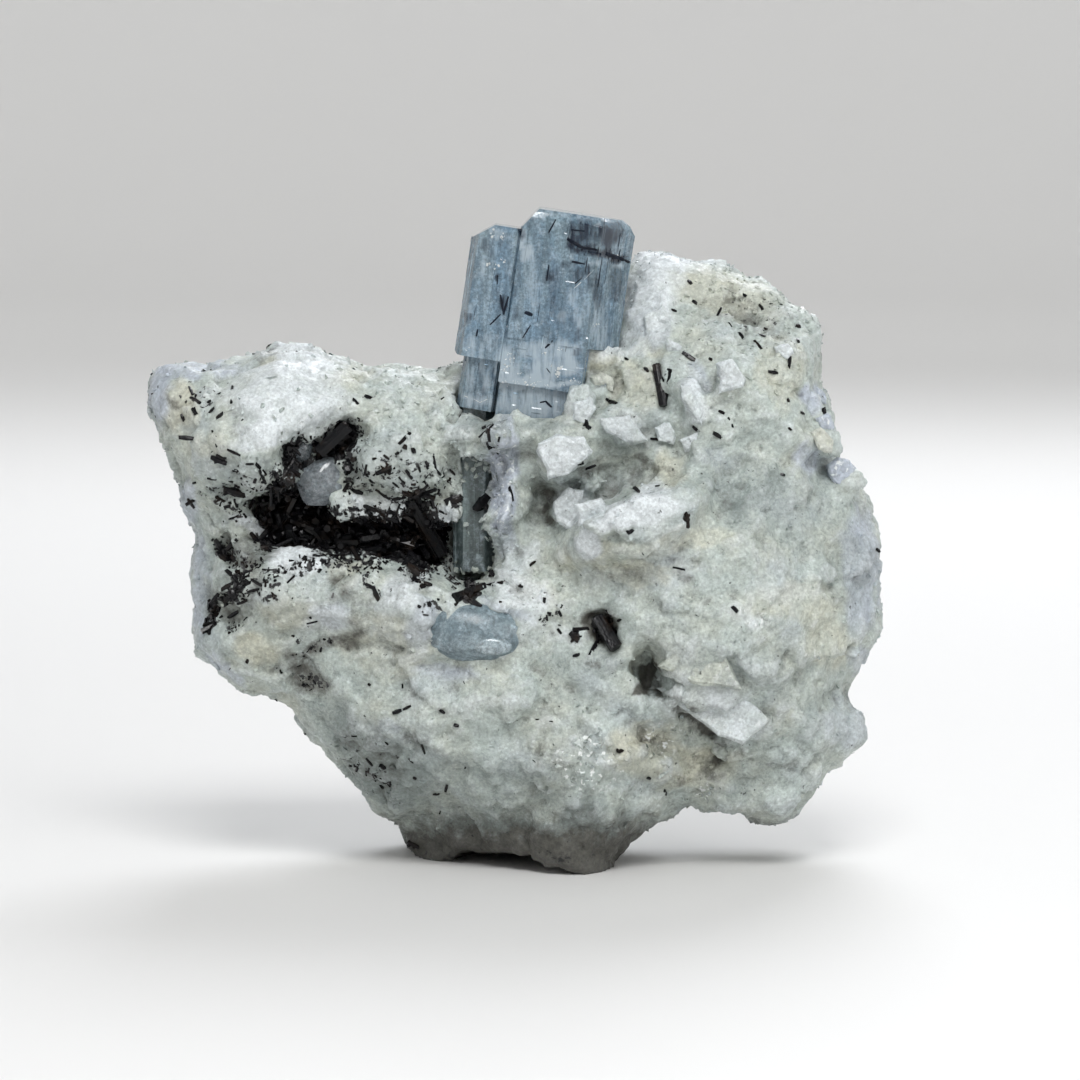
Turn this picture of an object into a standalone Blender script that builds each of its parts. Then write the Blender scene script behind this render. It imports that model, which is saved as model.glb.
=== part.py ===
"""Aquamarine prisms and black schorl on a loose piece of pale albite, at its real size.

Metres, +Z up. The front, with the prisms and the dark hollow, faces -Y. The stone rests on
the flat of its base at z = 0, and the origin is under the middle of its box. Sizes below are
in millimetres, and every mesh is scaled to metres as it is made.
"""

import math
import random
from typing import NamedTuple

import bmesh
import bpy
import numpy as np
from mathutils import Matrix, Vector, noise
from mathutils.bvhtree import BVHTree

MM = 0.001
GAP = 0.3  # between pieces that touch
SEED = 11

# The stone: its outline seen from the front, and how far it reaches forward and back.
SLAB_HALF = 10.0
VOXEL = 0.8
STONE_FACES = 5300
RIM_HALF = 3.6  # half the thickness at the outline
EDGE_ROUND = 4.2  # how far in from the outline the stone takes to fill out
FRONT_DEPTH = 6.5
WELD = 0.001  # corners nearer than this are one
FAR = 60.0  # outside the stone on every side
FLOOR_DEPTH = 3.0  # the outline runs this far below the base, which is then cut flat

OUTLINE = [
    (-33.5, 41.8), (-33.0, 44.6), (-31.1, 45.1), (-27.9, 44.9), (-25.3, 45.3), (-22.9, 46.1),
    (-21.5, 46.9), (-18.5, 46.9), (-17.8, 45.7), (-14.5, 45.1), (-13.5, 44.0), (-11.8, 44.9),
    (-10.2, 45.1), (-9.6, 44.2), (-6.8, 44.2), (-5.0, 45.2), (0.0, 44.8), (6.5, 45.6),
    (9.3, 49.6), (10.6, 54.2), (12.7, 55.1), (15.0, 54.4), (18.1, 54.0), (20.7, 52.9),
    (22.9, 52.3), (24.5, 51.1), (25.9, 49.7), (27.2, 48.9), (27.5, 46.6), (27.3, 43.6),
    (28.9, 40.2), (28.9, 37.2), (27.9, 36.8), (28.5, 36.0), (29.8, 36.5), (31.1, 34.6),
    (30.5, 33.2), (32.4, 31.1), (33.3, 29.1), (32.9, 23.7), (33.5, 21.0), (31.8, 18.7),
    (30.9, 16.4), (29.7, 14.8), (31.6, 12.4), (31.5, 10.5), (28.6, 8.8), (27.3, 7.6),
    (27.0, 5.9), (25.8, 5.2), (25.2, 3.7), (21.9, 3.6), (20.3, 4.5), (18.2, 4.0),
    (14.9, 5.3), (13.9, 5.2), (13.8, 4.0), (11.7, 2.6), (8.9, 0.8), (9.1, -0.8),
    (8.4, -FLOOR_DEPTH), (-8.8, -FLOOR_DEPTH), (-9.3, -0.2), (-10.0, 2.4), (-11.6, 3.8),
    (-13.2, 5.3), (-15.1, 7.7), (-17.1, 9.7), (-18.6, 11.9), (-20.8, 14.8), (-22.1, 15.6),
    (-23.5, 15.3), (-25.0, 15.9), (-26.8, 17.4), (-29.1, 19.2), (-28.8, 23.7), (-29.4, 27.8),
    (-27.9, 29.2), (-29.4, 30.5), (-30.7, 33.6), (-30.0, 35.5), (-31.3, 37.6),
]


class Form(NamedTuple):
    """A rise or a dip of the surface: where it is, how wide, and how far it stands out."""

    name: str
    x: float
    z: float
    half_width: float
    half_height: float
    turn: float  # degrees anticlockwise, seen from the front
    rise: float
    steepness: float


FRONT_FORMS = [
    Form("left block", -19.1, 41.7, 13.0, 6.5, 0, 4.0, 5),
    Form("white swell", -20.0, 42.6, 5.0, 3.2, 0, 1.6, 5),
    Form("left corner", -31.5, 42.6, 3.0, 5.0, 0, -2.0, 5),
    Form("hollow", -14.2, 31.2, 10.4, 3.0, -8, -6.0, 9),
    Form("upper hollow", -16.4, 37.0, 2.4, 3.8, -20, -4.0, 7),
    Form("sugary bank", -10.6, 36.6, 4.6, 3.0, 0, 3.0, 6),
    Form("bank under the left corner", -25.5, 36.1, 4.5, 5.0, 0, 2.5, 5),
    Form("lower shelf", -12.9, 25.2, 13.0, 3.4, -6, 3.4, 6),
    Form("lower left lobe", -24.0, 22.6, 5.0, 6.0, 0, 2.4, 5),
    Form("belly", -3.0, 15.6, 15.0, 9.5, -12, 5.4, 4),
    Form("right foot", 5.0, 1.6, 4.0, 4.0, 0, 3.0, 5),
    Form("seat of the prisms", 1.4, 47.9, 8.6, 5.6, 0, -4.6, 12),
    Form("sill under the prisms", 1.4, 40.0, 5.6, 1.7, 0, 3.6, 9),
    Form("stem cleft", -3.5, 35.0, 2.2, 9.0, 0, -3.0, 9),
    Form("window on the stem", -3.7, 27.7, 2.5, 2.6, 0, -4.0, 9),
    Form("upper bridge over the stem", -3.6, 39.2, 2.6, 1.4, 0, 5.0, 8),
    Form("lower bridge over the stem", -3.2, 32.8, 2.4, 1.7, 0, 4.6, 8),
    Form("grey column", -1.0, 35.4, 1.6, 6.0, 0, 3.4, 7),
    Form("middle recess", 3.5, 33.6, 2.2, 2.4, 0, -2.8, 7),
    Form("blade bank", 5.4, 37.6, 4.0, 3.0, 20, 3.2, 6),
    Form("right mass", 21.5, 29.1, 14.5, 19.0, 0, 6.4, 4),
    Form("middle of the mass", 16.4, 24.6, 9.0, 9.5, 0, 2.4, 4),
    Form("upper right slope", 16.8, 52.6, 11.0, 4.5, -12, -3.0, 4),
    Form("ragged ledge", 10.8, 31.8, 6.6, 2.5, 25, 4.4, 12),
    Form("gully above the ledge", 9.6, 36.8, 5.6, 2.4, 25, -2.2, 8),
    Form("brown cavity", 11.8, 18.6, 1.3, 2.9, 15, -6.0, 10),
    Form("scarp foot", 17.7, 11.0, 7.5, 2.6, -26, -3.6, 9),
    Form("lower right lobe", 22.8, 8.2, 4.5, 3.2, 0, 2.0, 5),
    Form("sparkling bank", 7.5, 9.6, 5.5, 4.2, 0, 3.2, 5),
    Form("upper knob", 24.0, 42.6, 3.4, 4.5, 0, 1.6, 5),
    Form("pale furrow", 19.9, 36.6, 1.4, 6.0, -40, -1.6, 7),
    Form("notch by the belly", 8.0, 22.2, 1.7, 1.6, 0, -2.4, 8),
]

# The plane of the outline wanders: the left foot stands back and the right mass comes forward.
RIM_FORMS = [
    Form("left foot", -8.0, 0.0, 5.0, 7.0, 0, 4.0, 4),
    Form("right foot", 7.0, -1.4, 4.0, 6.0, 0, -2.6, 5),
    Form("left block", -24.0, 40.6, 12.0, 8.0, 0, -1.5, 4),
    Form("right edge", 31.0, 25.6, 6.0, 14.0, 0, 2.0, 4),
    Form("upper right edge", 18.0, 54.6, 12.0, 6.0, 0, 3.0, 4),
]

# Broken planes of the back: depth = reach + along_x * x + along_z * z, the nearest one wins.
BACK_PLANES = [
    (15.0, 0.11, 0.01), (19.5, -0.22, 0.02), (8.4, 0.02, 0.48), (25.5, 0.04, -0.26),
    (17.2, 0.30, -0.02), (24.0, -0.34, -0.12),
]

BACK_FORMS = [
    Form("upper terrace", 14.0, 44.0, 11.0, 7.0, -24, 2.4, 8),
    Form("broad hollow", -6.0, 33.0, 9.0, 6.0, 18, -3.0, 6),
    Form("left ridge", -23.0, 33.0, 3.4, 11.0, -8, 2.2, 7),
    Form("middle ridge", 5.0, 26.0, 3.0, 11.0, 32, 2.8, 7),
    Form("right step", 24.0, 24.0, 6.0, 9.0, 12, -2.8, 8),
    Form("lower terrace", -8.0, 14.0, 9.0, 5.0, -30, 2.6, 8),
    Form("low notch", 12.0, 12.0, 3.0, 4.0, 0, -3.0, 7),
]

FACET_CELL = 5.2  # width of the broken facets
FACET_TILT = 0.34
FACET_STEP = 0.7
RIM_SHARE = 0.4  # of the facets' height, kept at the outline
BROAD_GRAIN = (0.35, 0.45)  # height of the swells on a facet, and how many to a millimetre
FINE_GRAIN = (0.2, 1.1)
EXPONENT_LIMIT = 30.0  # a form's edge is level beyond this


BLADE_TAPER = (0.86, 0.8)  # width and height of a blade's outer end, as shares of its own


class Blade(NamedTuple):
    """A flat-faced albite crystal that stands out of the stone."""

    name: str
    x: float
    z: float
    stand: float  # how far it stands out of the skin
    width: float
    depth: float
    height: float
    turn: float  # degrees about the view axis
    lean: float  # degrees about its own length
    swing: float  # degrees about the upright


FRONT_BLADES = [
    Blade("broad blade", 4.3, 37.7, 2.2, 4.6, 4.4, 2.9, 20, 14, -18),
    Blade("lower blade", 4.7, 33.0, 1.9, 2.0, 4.0, 3.0, -35, 8, 14),
    Blade("pair blade", 6.9, 34.9, 1.6, 2.2, 3.6, 1.5, 28, -10, 20),
    Blade("slanting blade", 9.4, 40.2, 1.8, 3.5, 4.2, 1.8, -30, 12, -10),
    Blade("tall blade", 15.4, 42.4, 1.7, 1.9, 4.4, 5.0, 12, -8, 24),
    Blade("square blade", 19.2, 44.0, 1.6, 2.4, 4.2, 2.7, -12, 10, -16),
    Blade("upper blade", 23.7, 46.8, 0.9, 2.2, 4.4, 1.5, 8, 0, 12),
    Blade("cream block", 7.6, 43.4, 2.2, 2.3, 4.0, 1.6, 4, 6, -8),
    Blade("yellow edge crystal", 27.6, 38.8, 0.9, 2.4, 4.4, 3.0, 10, 12, 20),
    Blade("lilac edge crystal", 29.3, 35.0, 0.8, 2.6, 4.4, 2.3, 42, 20, 24),
]

BACK_BLADES = [
    Blade("back blade", -12.0, 28.6, 1.2, 6.5, 4.4, 3.0, 24, 10, 14),
    Blade("low back blade", 12.5, 20.6, 1.2, 4.0, 4.4, 6.5, 16, -8, -20),
    Blade("upper back blade", 14.0, 44.6, 1.1, 3.6, 4.2, 3.0, -20, 8, -12),
]


# The prisms. A section is in the crystal's own frame: across, depth; heights run along its axis.
class Prism(NamedTuple):
    """A prism with a flat end, cut from a section between two heights on the axis."""

    name: str
    section: list
    bottom: float
    top: float
    bevel: float


AXIS_FOOT = (2.2, -6.0, 39.7)
AXIS_LEAN = 8.5  # degrees, to the right at the top
CORNER_GROW = 1.2  # a corner moves out by this much more than its sides do

PRISMS = [
    Prism("main", [(-4.2, -5.0), (2.9, -5.0), (6.0, -0.4), (3.0, 4.4), (-3.2, 4.4), (-4.4, 1.0)],
          7.8, 19.5, 0.8),
    Prism("main, lower part", [(-4.4, -4.8), (3.2, -4.8), (3.7, -0.5), (2.6, 4.2), (-4.2, 4.2)],
          3.8, 9.0, 0.3),
    Prism("foot", [(-4.2, -4.3), (2.5, -4.3), (2.9, -0.6), (2.0, 4.0), (-4.0, 4.0)],
          -1.6, 5.0, 0.0),
    Prism("left", [(-8.6, -2.4), (-8.0, -4.4), (-4.35, -5.3), (-3.6, -3.0), (-4.0, 1.8), (-7.4, 1.4)],
          5.6, 17.5, 0.5),
    Prism("left, lower part", [(-7.7, -2.2), (-7.2, -3.7), (-4.5, -4.5), (-4.0, -2.2), (-4.4, 1.0),
                               (-7.1, 0.8)], 1.0, 7.0, 0.0),
]

STEM = (-3.6, -7.4, 27.0)  # foot of the stem below the left prism
STEM_RADII = (1.93, 2.1)  # at its foot and its top
STEM_HEIGHT = 15.4
PRISM_SIDES = 6


class Pebble(NamedTuple):
    """A rounded crystal that stands out of the skin; turned in degrees about the view axis."""

    name: str
    x: float
    z: float
    stand: float
    half: tuple
    turn: float
    segments: int
    rings: int


BUD = Pebble("aquamarine_bud", -3.7, 22.0, 1.3, (3.8, 2.6, 2.9), -12, 12, 8)
GRAIN = Pebble("quartz_grain", -17.8, 35.4, 1.2, (1.4, 1.2, 1.25), 20, 8, 6)

# The arch between the two front feet, and the block below the base that cuts it flat.
ARCH_CENTRE = (0.4, -6.0, 0.0)
ARCH_HALF = (6.4, 9.0, 1.7)
ARCH_SEGMENTS = (16, 8)
FLOOR_BLOCK = (80.0, 80.0, 10.0)

# The black crust in the hollow: a thin bed that follows the skin, with stubby prisms through it.
CRUST_PLACE = (-15.4, 31.1)
CRUST_HALF = (8.0, 2.0)
CRUST_TURN = -8
CRUST_STAND = 0.5
CRUST_THICKNESS = 1.5
CRUST_GRID = (12, 4)
CRUST_PRISMS = 26
CRUST_RADIUS = (0.35, 0.75)
CRUST_LENGTH = (2.0, 4.4)
CRUST_SIDES = 5
CRUST_SLOPE = 5.0  # the skin's slope in the hollow, which a gap along Y has to make up for
CRUST_REACH = 0.9  # share of the bed's length that carries prisms
CRUST_SPREAD = 0.5  # share of the bed's height that carries them
CRUST_ENDS = 0.85  # how much the bed narrows to its ends
CRUST_ROOT = 0.8  # how deep a prism starts below the skin
CRUST_OUTWARD = (0.35, 0.9)  # how much a prism points out of the hollow


class Needle(NamedTuple):
    """A single black prism; each end is across, up, and how far it stands out of the skin."""

    name: str
    start: tuple
    end: tuple
    radius: float


NEEDLE_TAPER = 0.94  # a prism's far radius, as a share of its near one
NEEDLES = [
    Needle("schorl_big_prism", (-9.4, 33.5, 0.3), (-6.6, 28.4, 0.7), 0.8),
    Needle("schorl_upper_prism", (-17.4, 37.8, 0.4), (-14.8, 40.2, 0.2), 0.7),
    Needle("schorl_needle", (13.2, 42.0, 0.2), (12.6, 45.6, 0.3), 0.45),
    Needle("schorl_low_prism", (-5.3, 25.2, 0.6), (-2.7, 25.9, 0.4), 0.55),
    Needle("schorl_side_prism", (8.9, 20.8, 0.5), (7.2, 23.4, 0.3), 0.7),
]


def clear_scene():
    for old in list(bpy.data.objects):
        bpy.data.objects.remove(old, do_unlink=True)


def add_object(name, mesh, collection):
    piece = bpy.data.objects.new(name, mesh)
    collection.objects.link(piece)
    return piece


def finish(name, colour, roughness, transmission=0.0):
    """A plain material of the piece's colour."""
    material = bpy.data.materials.new(name)
    material.use_nodes = True
    shader = material.node_tree.nodes["Principled BSDF"]
    shader.inputs["Base Color"].default_value = (*colour, 1.0)
    shader.inputs["Roughness"].default_value = roughness
    shader.inputs["Metallic"].default_value = 0.0
    shader.inputs["Transmission Weight"].default_value = transmission
    return material


def evaluated_mesh(piece):
    """The piece's mesh with its modifiers, as plain mesh data."""
    graph = bpy.context.evaluated_depsgraph_get()
    return bpy.data.meshes.new_from_object(piece.evaluated_get(graph))


def mesh_from(work, name):
    """A mesh from a bmesh made in millimetres, with its faces pointing out."""
    bmesh.ops.recalc_face_normals(work, faces=work.faces)
    bmesh.ops.scale(work, vec=(MM, MM, MM), verts=work.verts)
    mesh = bpy.data.meshes.new(name)
    work.to_mesh(mesh)
    work.free()
    return mesh


def outline_slab(collection):
    """The outline, upright and drawn out to a flat slab."""
    curve = bpy.data.curves.new("outline", "CURVE")
    curve.dimensions = "2D"
    curve.fill_mode = "BOTH"
    curve.extrude = SLAB_HALF * MM
    spline = curve.splines.new("POLY")
    spline.points.add(len(OUTLINE) - 1)
    for point, (x, z) in zip(spline.points, OUTLINE):
        point.co = (x * MM, z * MM, 0.0, 1.0)
    spline.use_cyclic_u = True
    outline = add_object("outline", curve, collection)
    outline.rotation_euler.x = math.radians(90)
    bpy.context.view_layer.update()
    mesh = evaluated_mesh(outline)
    mesh.transform(outline.matrix_world)
    bpy.data.objects.remove(outline)
    work = bmesh.new()
    work.from_mesh(mesh)
    bmesh.ops.remove_doubles(work, verts=work.verts, dist=MM * MM)
    bmesh.ops.recalc_face_normals(work, faces=work.faces)
    work.to_mesh(mesh)
    work.free()
    return mesh


def remeshed(mesh, collection):
    """The same body with an even skin."""
    piece = add_object("skin", mesh, collection)
    modifier = piece.modifiers.new("even skin", "REMESH")
    modifier.mode = "VOXEL"
    modifier.voxel_size = VOXEL * MM
    even = evaluated_mesh(piece)
    bpy.data.objects.remove(piece)
    return even


def get_points(mesh):
    """The mesh's points in millimetres, one row each."""
    flat = np.empty(len(mesh.vertices) * 3, dtype=np.float32)
    mesh.vertices.foreach_get("co", flat)
    return flat.reshape(-1, 3).astype(float) / MM


def set_points(mesh, points):
    mesh.vertices.foreach_set("co", (points * MM).astype(np.float32).ravel())
    mesh.update()


def inset_from_outline(x, z):
    """How far each point is from the nearest side of the outline."""
    here = np.stack([x, z], axis=1)
    nearest = np.full(len(x), np.inf)
    for start, end in zip(OUTLINE, OUTLINE[1:] + OUTLINE[:1]):
        start = np.array(start)
        side = np.array(end) - start
        along = np.clip((here - start) @ side / (side @ side), 0.0, 1.0)
        nearest = np.minimum(nearest, np.linalg.norm(here - start - along[:, None] * side, axis=1))
    return nearest


def relief(x, z, forms):
    """The sum of the forms' rises at each point."""
    total = np.zeros(len(x))
    for form in forms:
        turn = math.radians(form.turn)
        across = (x - form.x) * math.cos(turn) + (z - form.z) * math.sin(turn)
        upward = (z - form.z) * math.cos(turn) - (x - form.x) * math.sin(turn)
        reach = form.steepness * (np.hypot(across / form.half_width, upward / form.half_height) - 1.0)
        total += form.rise / (1.0 + np.exp(np.clip(reach, -EXPONENT_LIMIT, EXPONENT_LIMIT)))
    return total


def back_depth(x, z):
    """How far the broken back reaches behind the outline."""
    planes = [reach + along_x * x + along_z * z for reach, along_x, along_z in BACK_PLANES]
    return np.maximum(np.min(planes, axis=0) + relief(x, z, BACK_FORMS), RIM_HALF)


def pull_to_form(mesh):
    """Moves the slab's front and back out to the stone's own depths."""
    points = get_points(mesh)
    x, y, z = points.T
    inset = inset_from_outline(x, z)
    fill = np.sqrt(inset / (inset + EDGE_ROUND))
    front = RIM_HALF + (FRONT_DEPTH + relief(x, z, FRONT_FORMS)) * fill
    back = RIM_HALF + (back_depth(x, z) - RIM_HALF) * fill
    side = np.clip(y / SLAB_HALF, -1.0, 1.0)
    points[:, 1] = relief(x, z, RIM_FORMS) + np.where(side < 0, side * front, side * back)
    set_points(mesh, points)


def break_to_facets(mesh):
    """Tilts and steps the skin, cell by cell, as broken stone does."""
    points = get_points(mesh)
    inset = inset_from_outline(points[:, 0], points[:, 2])
    fade = RIM_SHARE + (1.0 - RIM_SHARE) * np.clip(inset / EDGE_ROUND, 0.0, 1.0)
    for index, vertex in enumerate(mesh.vertices):
        place = Vector(points[index])
        centre = noise.voronoi(place / FACET_CELL)[1][0] * FACET_CELL
        tilt = noise.cell_vector(centre) - Vector((0.5, 0.5, 0.5))
        rise = FACET_TILT * tilt.dot(place - centre) + FACET_STEP / 2 * tilt.x
        grain = sum(height * noise.noise(place * rate) for height, rate in (BROAD_GRAIN, FINE_GRAIN))
        points[index] += np.array(vertex.normal * (rise + grain) * fade[index])
    set_points(mesh, points)


def skin_finder(mesh):
    """A search tree over the stone's skin."""
    corners = [vertex.co for vertex in mesh.vertices]
    return BVHTree.FromPolygons(corners, [face.vertices for face in mesh.polygons])


def skin_depth(skin, x, z, facing=-1):
    """Where the skin is at a place: its front with facing -1, its back with facing 1."""
    start = Vector((x * MM, facing * FAR * MM, z * MM))
    return skin.ray_cast(start, Vector((0, -facing, 0)))[0].y / MM


def blade_mesh(blade, skin, facing):
    """A block with its outer end narrower, turned to its place."""
    work = bmesh.new()
    bmesh.ops.create_cube(work, size=1.0)
    for vertex in work.verts:
        if vertex.co.y * facing > 0:
            vertex.co.x *= BLADE_TAPER[0]
            vertex.co.z *= BLADE_TAPER[1]
    bmesh.ops.scale(work, vec=(blade.width, blade.depth, blade.height), verts=work.verts)
    turn = Matrix.Rotation(math.radians(-blade.turn), 4, "Y")
    lean = Matrix.Rotation(math.radians(blade.lean), 4, "X")
    swing = Matrix.Rotation(math.radians(blade.swing), 4, "Z")
    outer = skin_depth(skin, blade.x, blade.z, facing) + facing * blade.stand
    centre = (blade.x, outer - facing * blade.depth / 2, blade.z)
    place = Matrix.Translation(centre) @ swing @ turn @ lean
    bmesh.ops.transform(work, matrix=place, verts=work.verts)
    return mesh_from(work, blade.name)


def section_mesh(name, section, bottom, top, bevel, grow):
    """A section drawn out between two heights, with its top edges taken off."""
    centre = np.mean(section, axis=0)
    work = bmesh.new()
    ring = []
    for corner in section:
        outward = np.array(corner) - centre
        u, v = np.array(corner) + outward / np.linalg.norm(outward) * grow * CORNER_GROW
        ring.append(work.verts.new((u, v, bottom - grow)))
    base = work.faces.new(ring)
    drawn = bmesh.ops.extrude_face_region(work, geom=[base])
    upper = [item for item in drawn["geom"] if isinstance(item, bmesh.types.BMVert)]
    bmesh.ops.translate(work, vec=(0, 0, top - bottom + 2 * grow), verts=upper)
    if bevel > 0:
        rim = [edge for edge in work.edges if all(vertex in upper for vertex in edge.verts)]
        bmesh.ops.bevel(work, geom=rim, offset=bevel, segments=1, affect="EDGES")
    place = Matrix.Translation(AXIS_FOOT) @ Matrix.Rotation(math.radians(AXIS_LEAN), 4, "Y")
    bmesh.ops.transform(work, matrix=place, verts=work.verts)
    return mesh_from(work, name)


def stem_mesh(grow):
    work = bmesh.new()
    bmesh.ops.create_cone(
        work, cap_ends=True, segments=PRISM_SIDES, radius1=STEM_RADII[0] + grow,
        radius2=STEM_RADII[1] + grow, depth=STEM_HEIGHT + 2 * grow,
    )
    middle = Vector(STEM) + Vector((0, 0, STEM_HEIGHT / 2))
    bmesh.ops.translate(work, vec=middle, verts=work.verts)
    return mesh_from(work, "stem")


def pebble_mesh(pebble, skin, grow):
    """A rounded crystal with flat sides, its front standing out of the skin."""
    work = bmesh.new()
    bmesh.ops.create_uvsphere(work, u_segments=pebble.segments, v_segments=pebble.rings, radius=1.0)
    bmesh.ops.scale(work, vec=Vector(pebble.half) + Vector((grow, grow, grow)), verts=work.verts)
    front = skin_depth(skin, pebble.x, pebble.z) - pebble.stand
    centre = (pebble.x, front + pebble.half[1], pebble.z)
    place = Matrix.Translation(centre) @ Matrix.Rotation(math.radians(-pebble.turn), 4, "Y")
    bmesh.ops.transform(work, matrix=place, verts=work.verts)
    return mesh_from(work, pebble.name)


def rod_mesh(name, start, end, radius, grow, sides=PRISM_SIDES):
    """A prism from one point to another."""
    start, end = Vector(start), Vector(end)
    along = end - start
    work = bmesh.new()
    bmesh.ops.create_cone(
        work, cap_ends=True, segments=sides, radius1=radius + grow,
        radius2=radius * NEEDLE_TAPER + grow, depth=along.length + 2 * grow,
    )
    turn = along.to_track_quat("Z", "Y").to_matrix().to_4x4()
    bmesh.ops.transform(work, matrix=Matrix.Translation((start + end) / 2) @ turn, verts=work.verts)
    return mesh_from(work, name)


def crust_place(along, upward):
    """A place on the bed, each way from -1 to 1, on an oval that narrows to its ends."""
    turn = math.radians(CRUST_TURN)
    across = along * CRUST_HALF[0]
    rise = upward * CRUST_HALF[1] * math.sqrt(1.0 - CRUST_ENDS * along * along)
    x = CRUST_PLACE[0] + across * math.cos(turn) - rise * math.sin(turn)
    z = CRUST_PLACE[1] + across * math.sin(turn) + rise * math.cos(turn)
    return x, z


def bed_mesh(skin, grow):
    """A sheet laid on the skin and thickened into the stone, more so where it cuts its bed."""
    deeper_by = grow * CRUST_SLOPE
    work = bmesh.new()
    columns, rows = CRUST_GRID
    bmesh.ops.create_grid(work, x_segments=columns, y_segments=rows, size=1.0)
    for corner in work.verts:
        u, v = corner.co.xy
        x, z = crust_place(u, v)
        front = skin_depth(skin, x, z) - CRUST_STAND - deeper_by
        corner.co = (x + u * grow, front, z + v * grow)
    bmesh.ops.recalc_face_normals(work, faces=work.faces)
    deeper = bmesh.ops.extrude_face_region(work, geom=work.faces[:])
    inner = [item for item in deeper["geom"] if isinstance(item, bmesh.types.BMVert)]
    bmesh.ops.translate(work, vec=(0, CRUST_THICKNESS + 2 * deeper_by, 0), verts=inner)
    return mesh_from(work, "bed")


def crust_rods(skin):
    """Start, end and radius of each stubby prism of the bed."""
    chance = random.Random(SEED)
    for index in range(CRUST_PRISMS):
        along = CRUST_REACH * (2.0 * (index + 0.5) / CRUST_PRISMS - 1.0)
        x, z = crust_place(along, chance.uniform(-CRUST_SPREAD, CRUST_SPREAD))
        outward = chance.uniform(*CRUST_OUTWARD)
        heading = Vector((chance.uniform(-1, 1), -outward, chance.uniform(-1, 1)))
        heading.normalize()
        length = chance.uniform(*CRUST_LENGTH)
        start = Vector((x, skin_depth(skin, x, z), z)) - heading * CRUST_ROOT
        yield start, start + heading * length, chance.uniform(*CRUST_RADIUS)


def join(base, others, operation, cutters, solver="EXACT"):
    """Adds one Boolean for each of the other meshes to the base piece.

    The crust's many crossing prisms need the manifold solver, because the exact one loses them.
    """
    for mesh in others:
        cutter = add_object(mesh.name + " cutter", mesh, cutters)
        cutter.hide_render = True
        cutter.display_type = "WIRE"
        modifier = base.modifiers.new(operation.lower(), "BOOLEAN")
        modifier.operation = operation
        modifier.solver = solver
        modifier.object = cutter


def crystal_meshes(grow):
    """The shapes of the aquamarine cluster, grown outwards where they cut a pocket."""
    prisms = [section_mesh(p.name, p.section, p.bottom, p.top, p.bevel, grow) for p in PRISMS]
    return prisms + [stem_mesh(grow)]


def crust_meshes(skin, grow):
    rods = [rod_mesh("crust prism", *rod, grow, CRUST_SIDES) for rod in crust_rods(skin)]
    return [bed_mesh(skin, grow)] + rods


def needle_mesh(needle, skin, grow):
    ends = [(x, skin_depth(skin, x, z) - stand, z) for x, z, stand in (needle.start, needle.end)]
    return rod_mesh(needle.name, *ends, needle.radius, grow)


def floor_mesh():
    work = bmesh.new()
    bmesh.ops.create_cube(work, size=1.0)
    bmesh.ops.scale(work, vec=FLOOR_BLOCK, verts=work.verts)
    bmesh.ops.translate(work, vec=(0, 0, -FLOOR_BLOCK[2] / 2), verts=work.verts)
    return mesh_from(work, "floor")


def arch_mesh():
    work = bmesh.new()
    segments, rings = ARCH_SEGMENTS
    bmesh.ops.create_uvsphere(work, u_segments=segments, v_segments=rings, radius=1.0)
    bmesh.ops.scale(work, vec=ARCH_HALF, verts=work.verts)
    bmesh.ops.translate(work, vec=ARCH_CENTRE, verts=work.verts)
    return mesh_from(work, "arch")


def stone_skin(parts):
    """The stone's mesh before anything is added to it or cut from it."""
    mesh = remeshed(outline_slab(parts), parts)
    pull_to_form(mesh)
    mesh = remeshed(mesh, parts)
    break_to_facets(mesh)
    return mesh


def body_of(face):
    """Every face that is reached from this one over edges that two faces share."""
    body, waiting = {face}, [face]
    while waiting:
        here = waiting.pop()
        shared = [edge.link_faces for edge in here.edges if len(edge.link_faces) == 2]
        beside = {other for pair in shared for other in pair}
        fresh = beside - body
        body |= fresh
        waiting.extend(fresh)
    return body


def without_chips(mesh):
    """The outer body alone, without loose chips or the sealed voids between its crystals."""
    work = bmesh.new()
    work.from_mesh(mesh)
    bmesh.ops.remove_doubles(work, verts=work.verts, dist=WELD * MM)
    bodies, left = [], set(work.faces)
    while left:
        bodies.append(body_of(next(iter(left))))
        left -= bodies[-1]
    bodies.sort(key=len)
    chips = [face for body in bodies[:-1] for face in body]
    bmesh.ops.delete(work, geom=chips, context="FACES")
    work.to_mesh(mesh)
    work.free()
    return mesh


def settled_mesh(piece):
    """The piece's own mesh after its Booleans, in place of the piece."""
    bpy.context.view_layer.update()
    mesh = without_chips(evaluated_mesh(piece))
    bpy.data.objects.remove(piece)
    mesh.materials.clear()
    return mesh


def build_matrix(mesh, skin, parts, cutters):
    stone = add_object("rough stone", mesh, parts)
    fewer = stone.modifiers.new("fewer faces", "DECIMATE")
    fewer.use_collapse_triangulate = True
    fewer.ratio = STONE_FACES / (2 * len(mesh.polygons))
    blades = [blade_mesh(blade, skin, -1) for blade in FRONT_BLADES]
    blades += [blade_mesh(blade, skin, 1) for blade in BACK_BLADES]
    join(stone, blades, "UNION", cutters)
    pockets = crystal_meshes(GAP) + [pebble_mesh(pebble, skin, GAP) for pebble in (BUD, GRAIN)]
    pockets += [needle_mesh(needle, skin, GAP) for needle in NEEDLES]
    join(stone, pockets + [floor_mesh(), arch_mesh()], "DIFFERENCE", cutters)
    join(stone, crust_meshes(skin, GAP), "DIFFERENCE", cutters, "MANIFOLD")
    cut = settled_mesh(stone)
    cut.materials.append(finish("albite", (0.66, 0.70, 0.66), 0.6))
    add_object("matrix", cut, parts)


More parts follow.
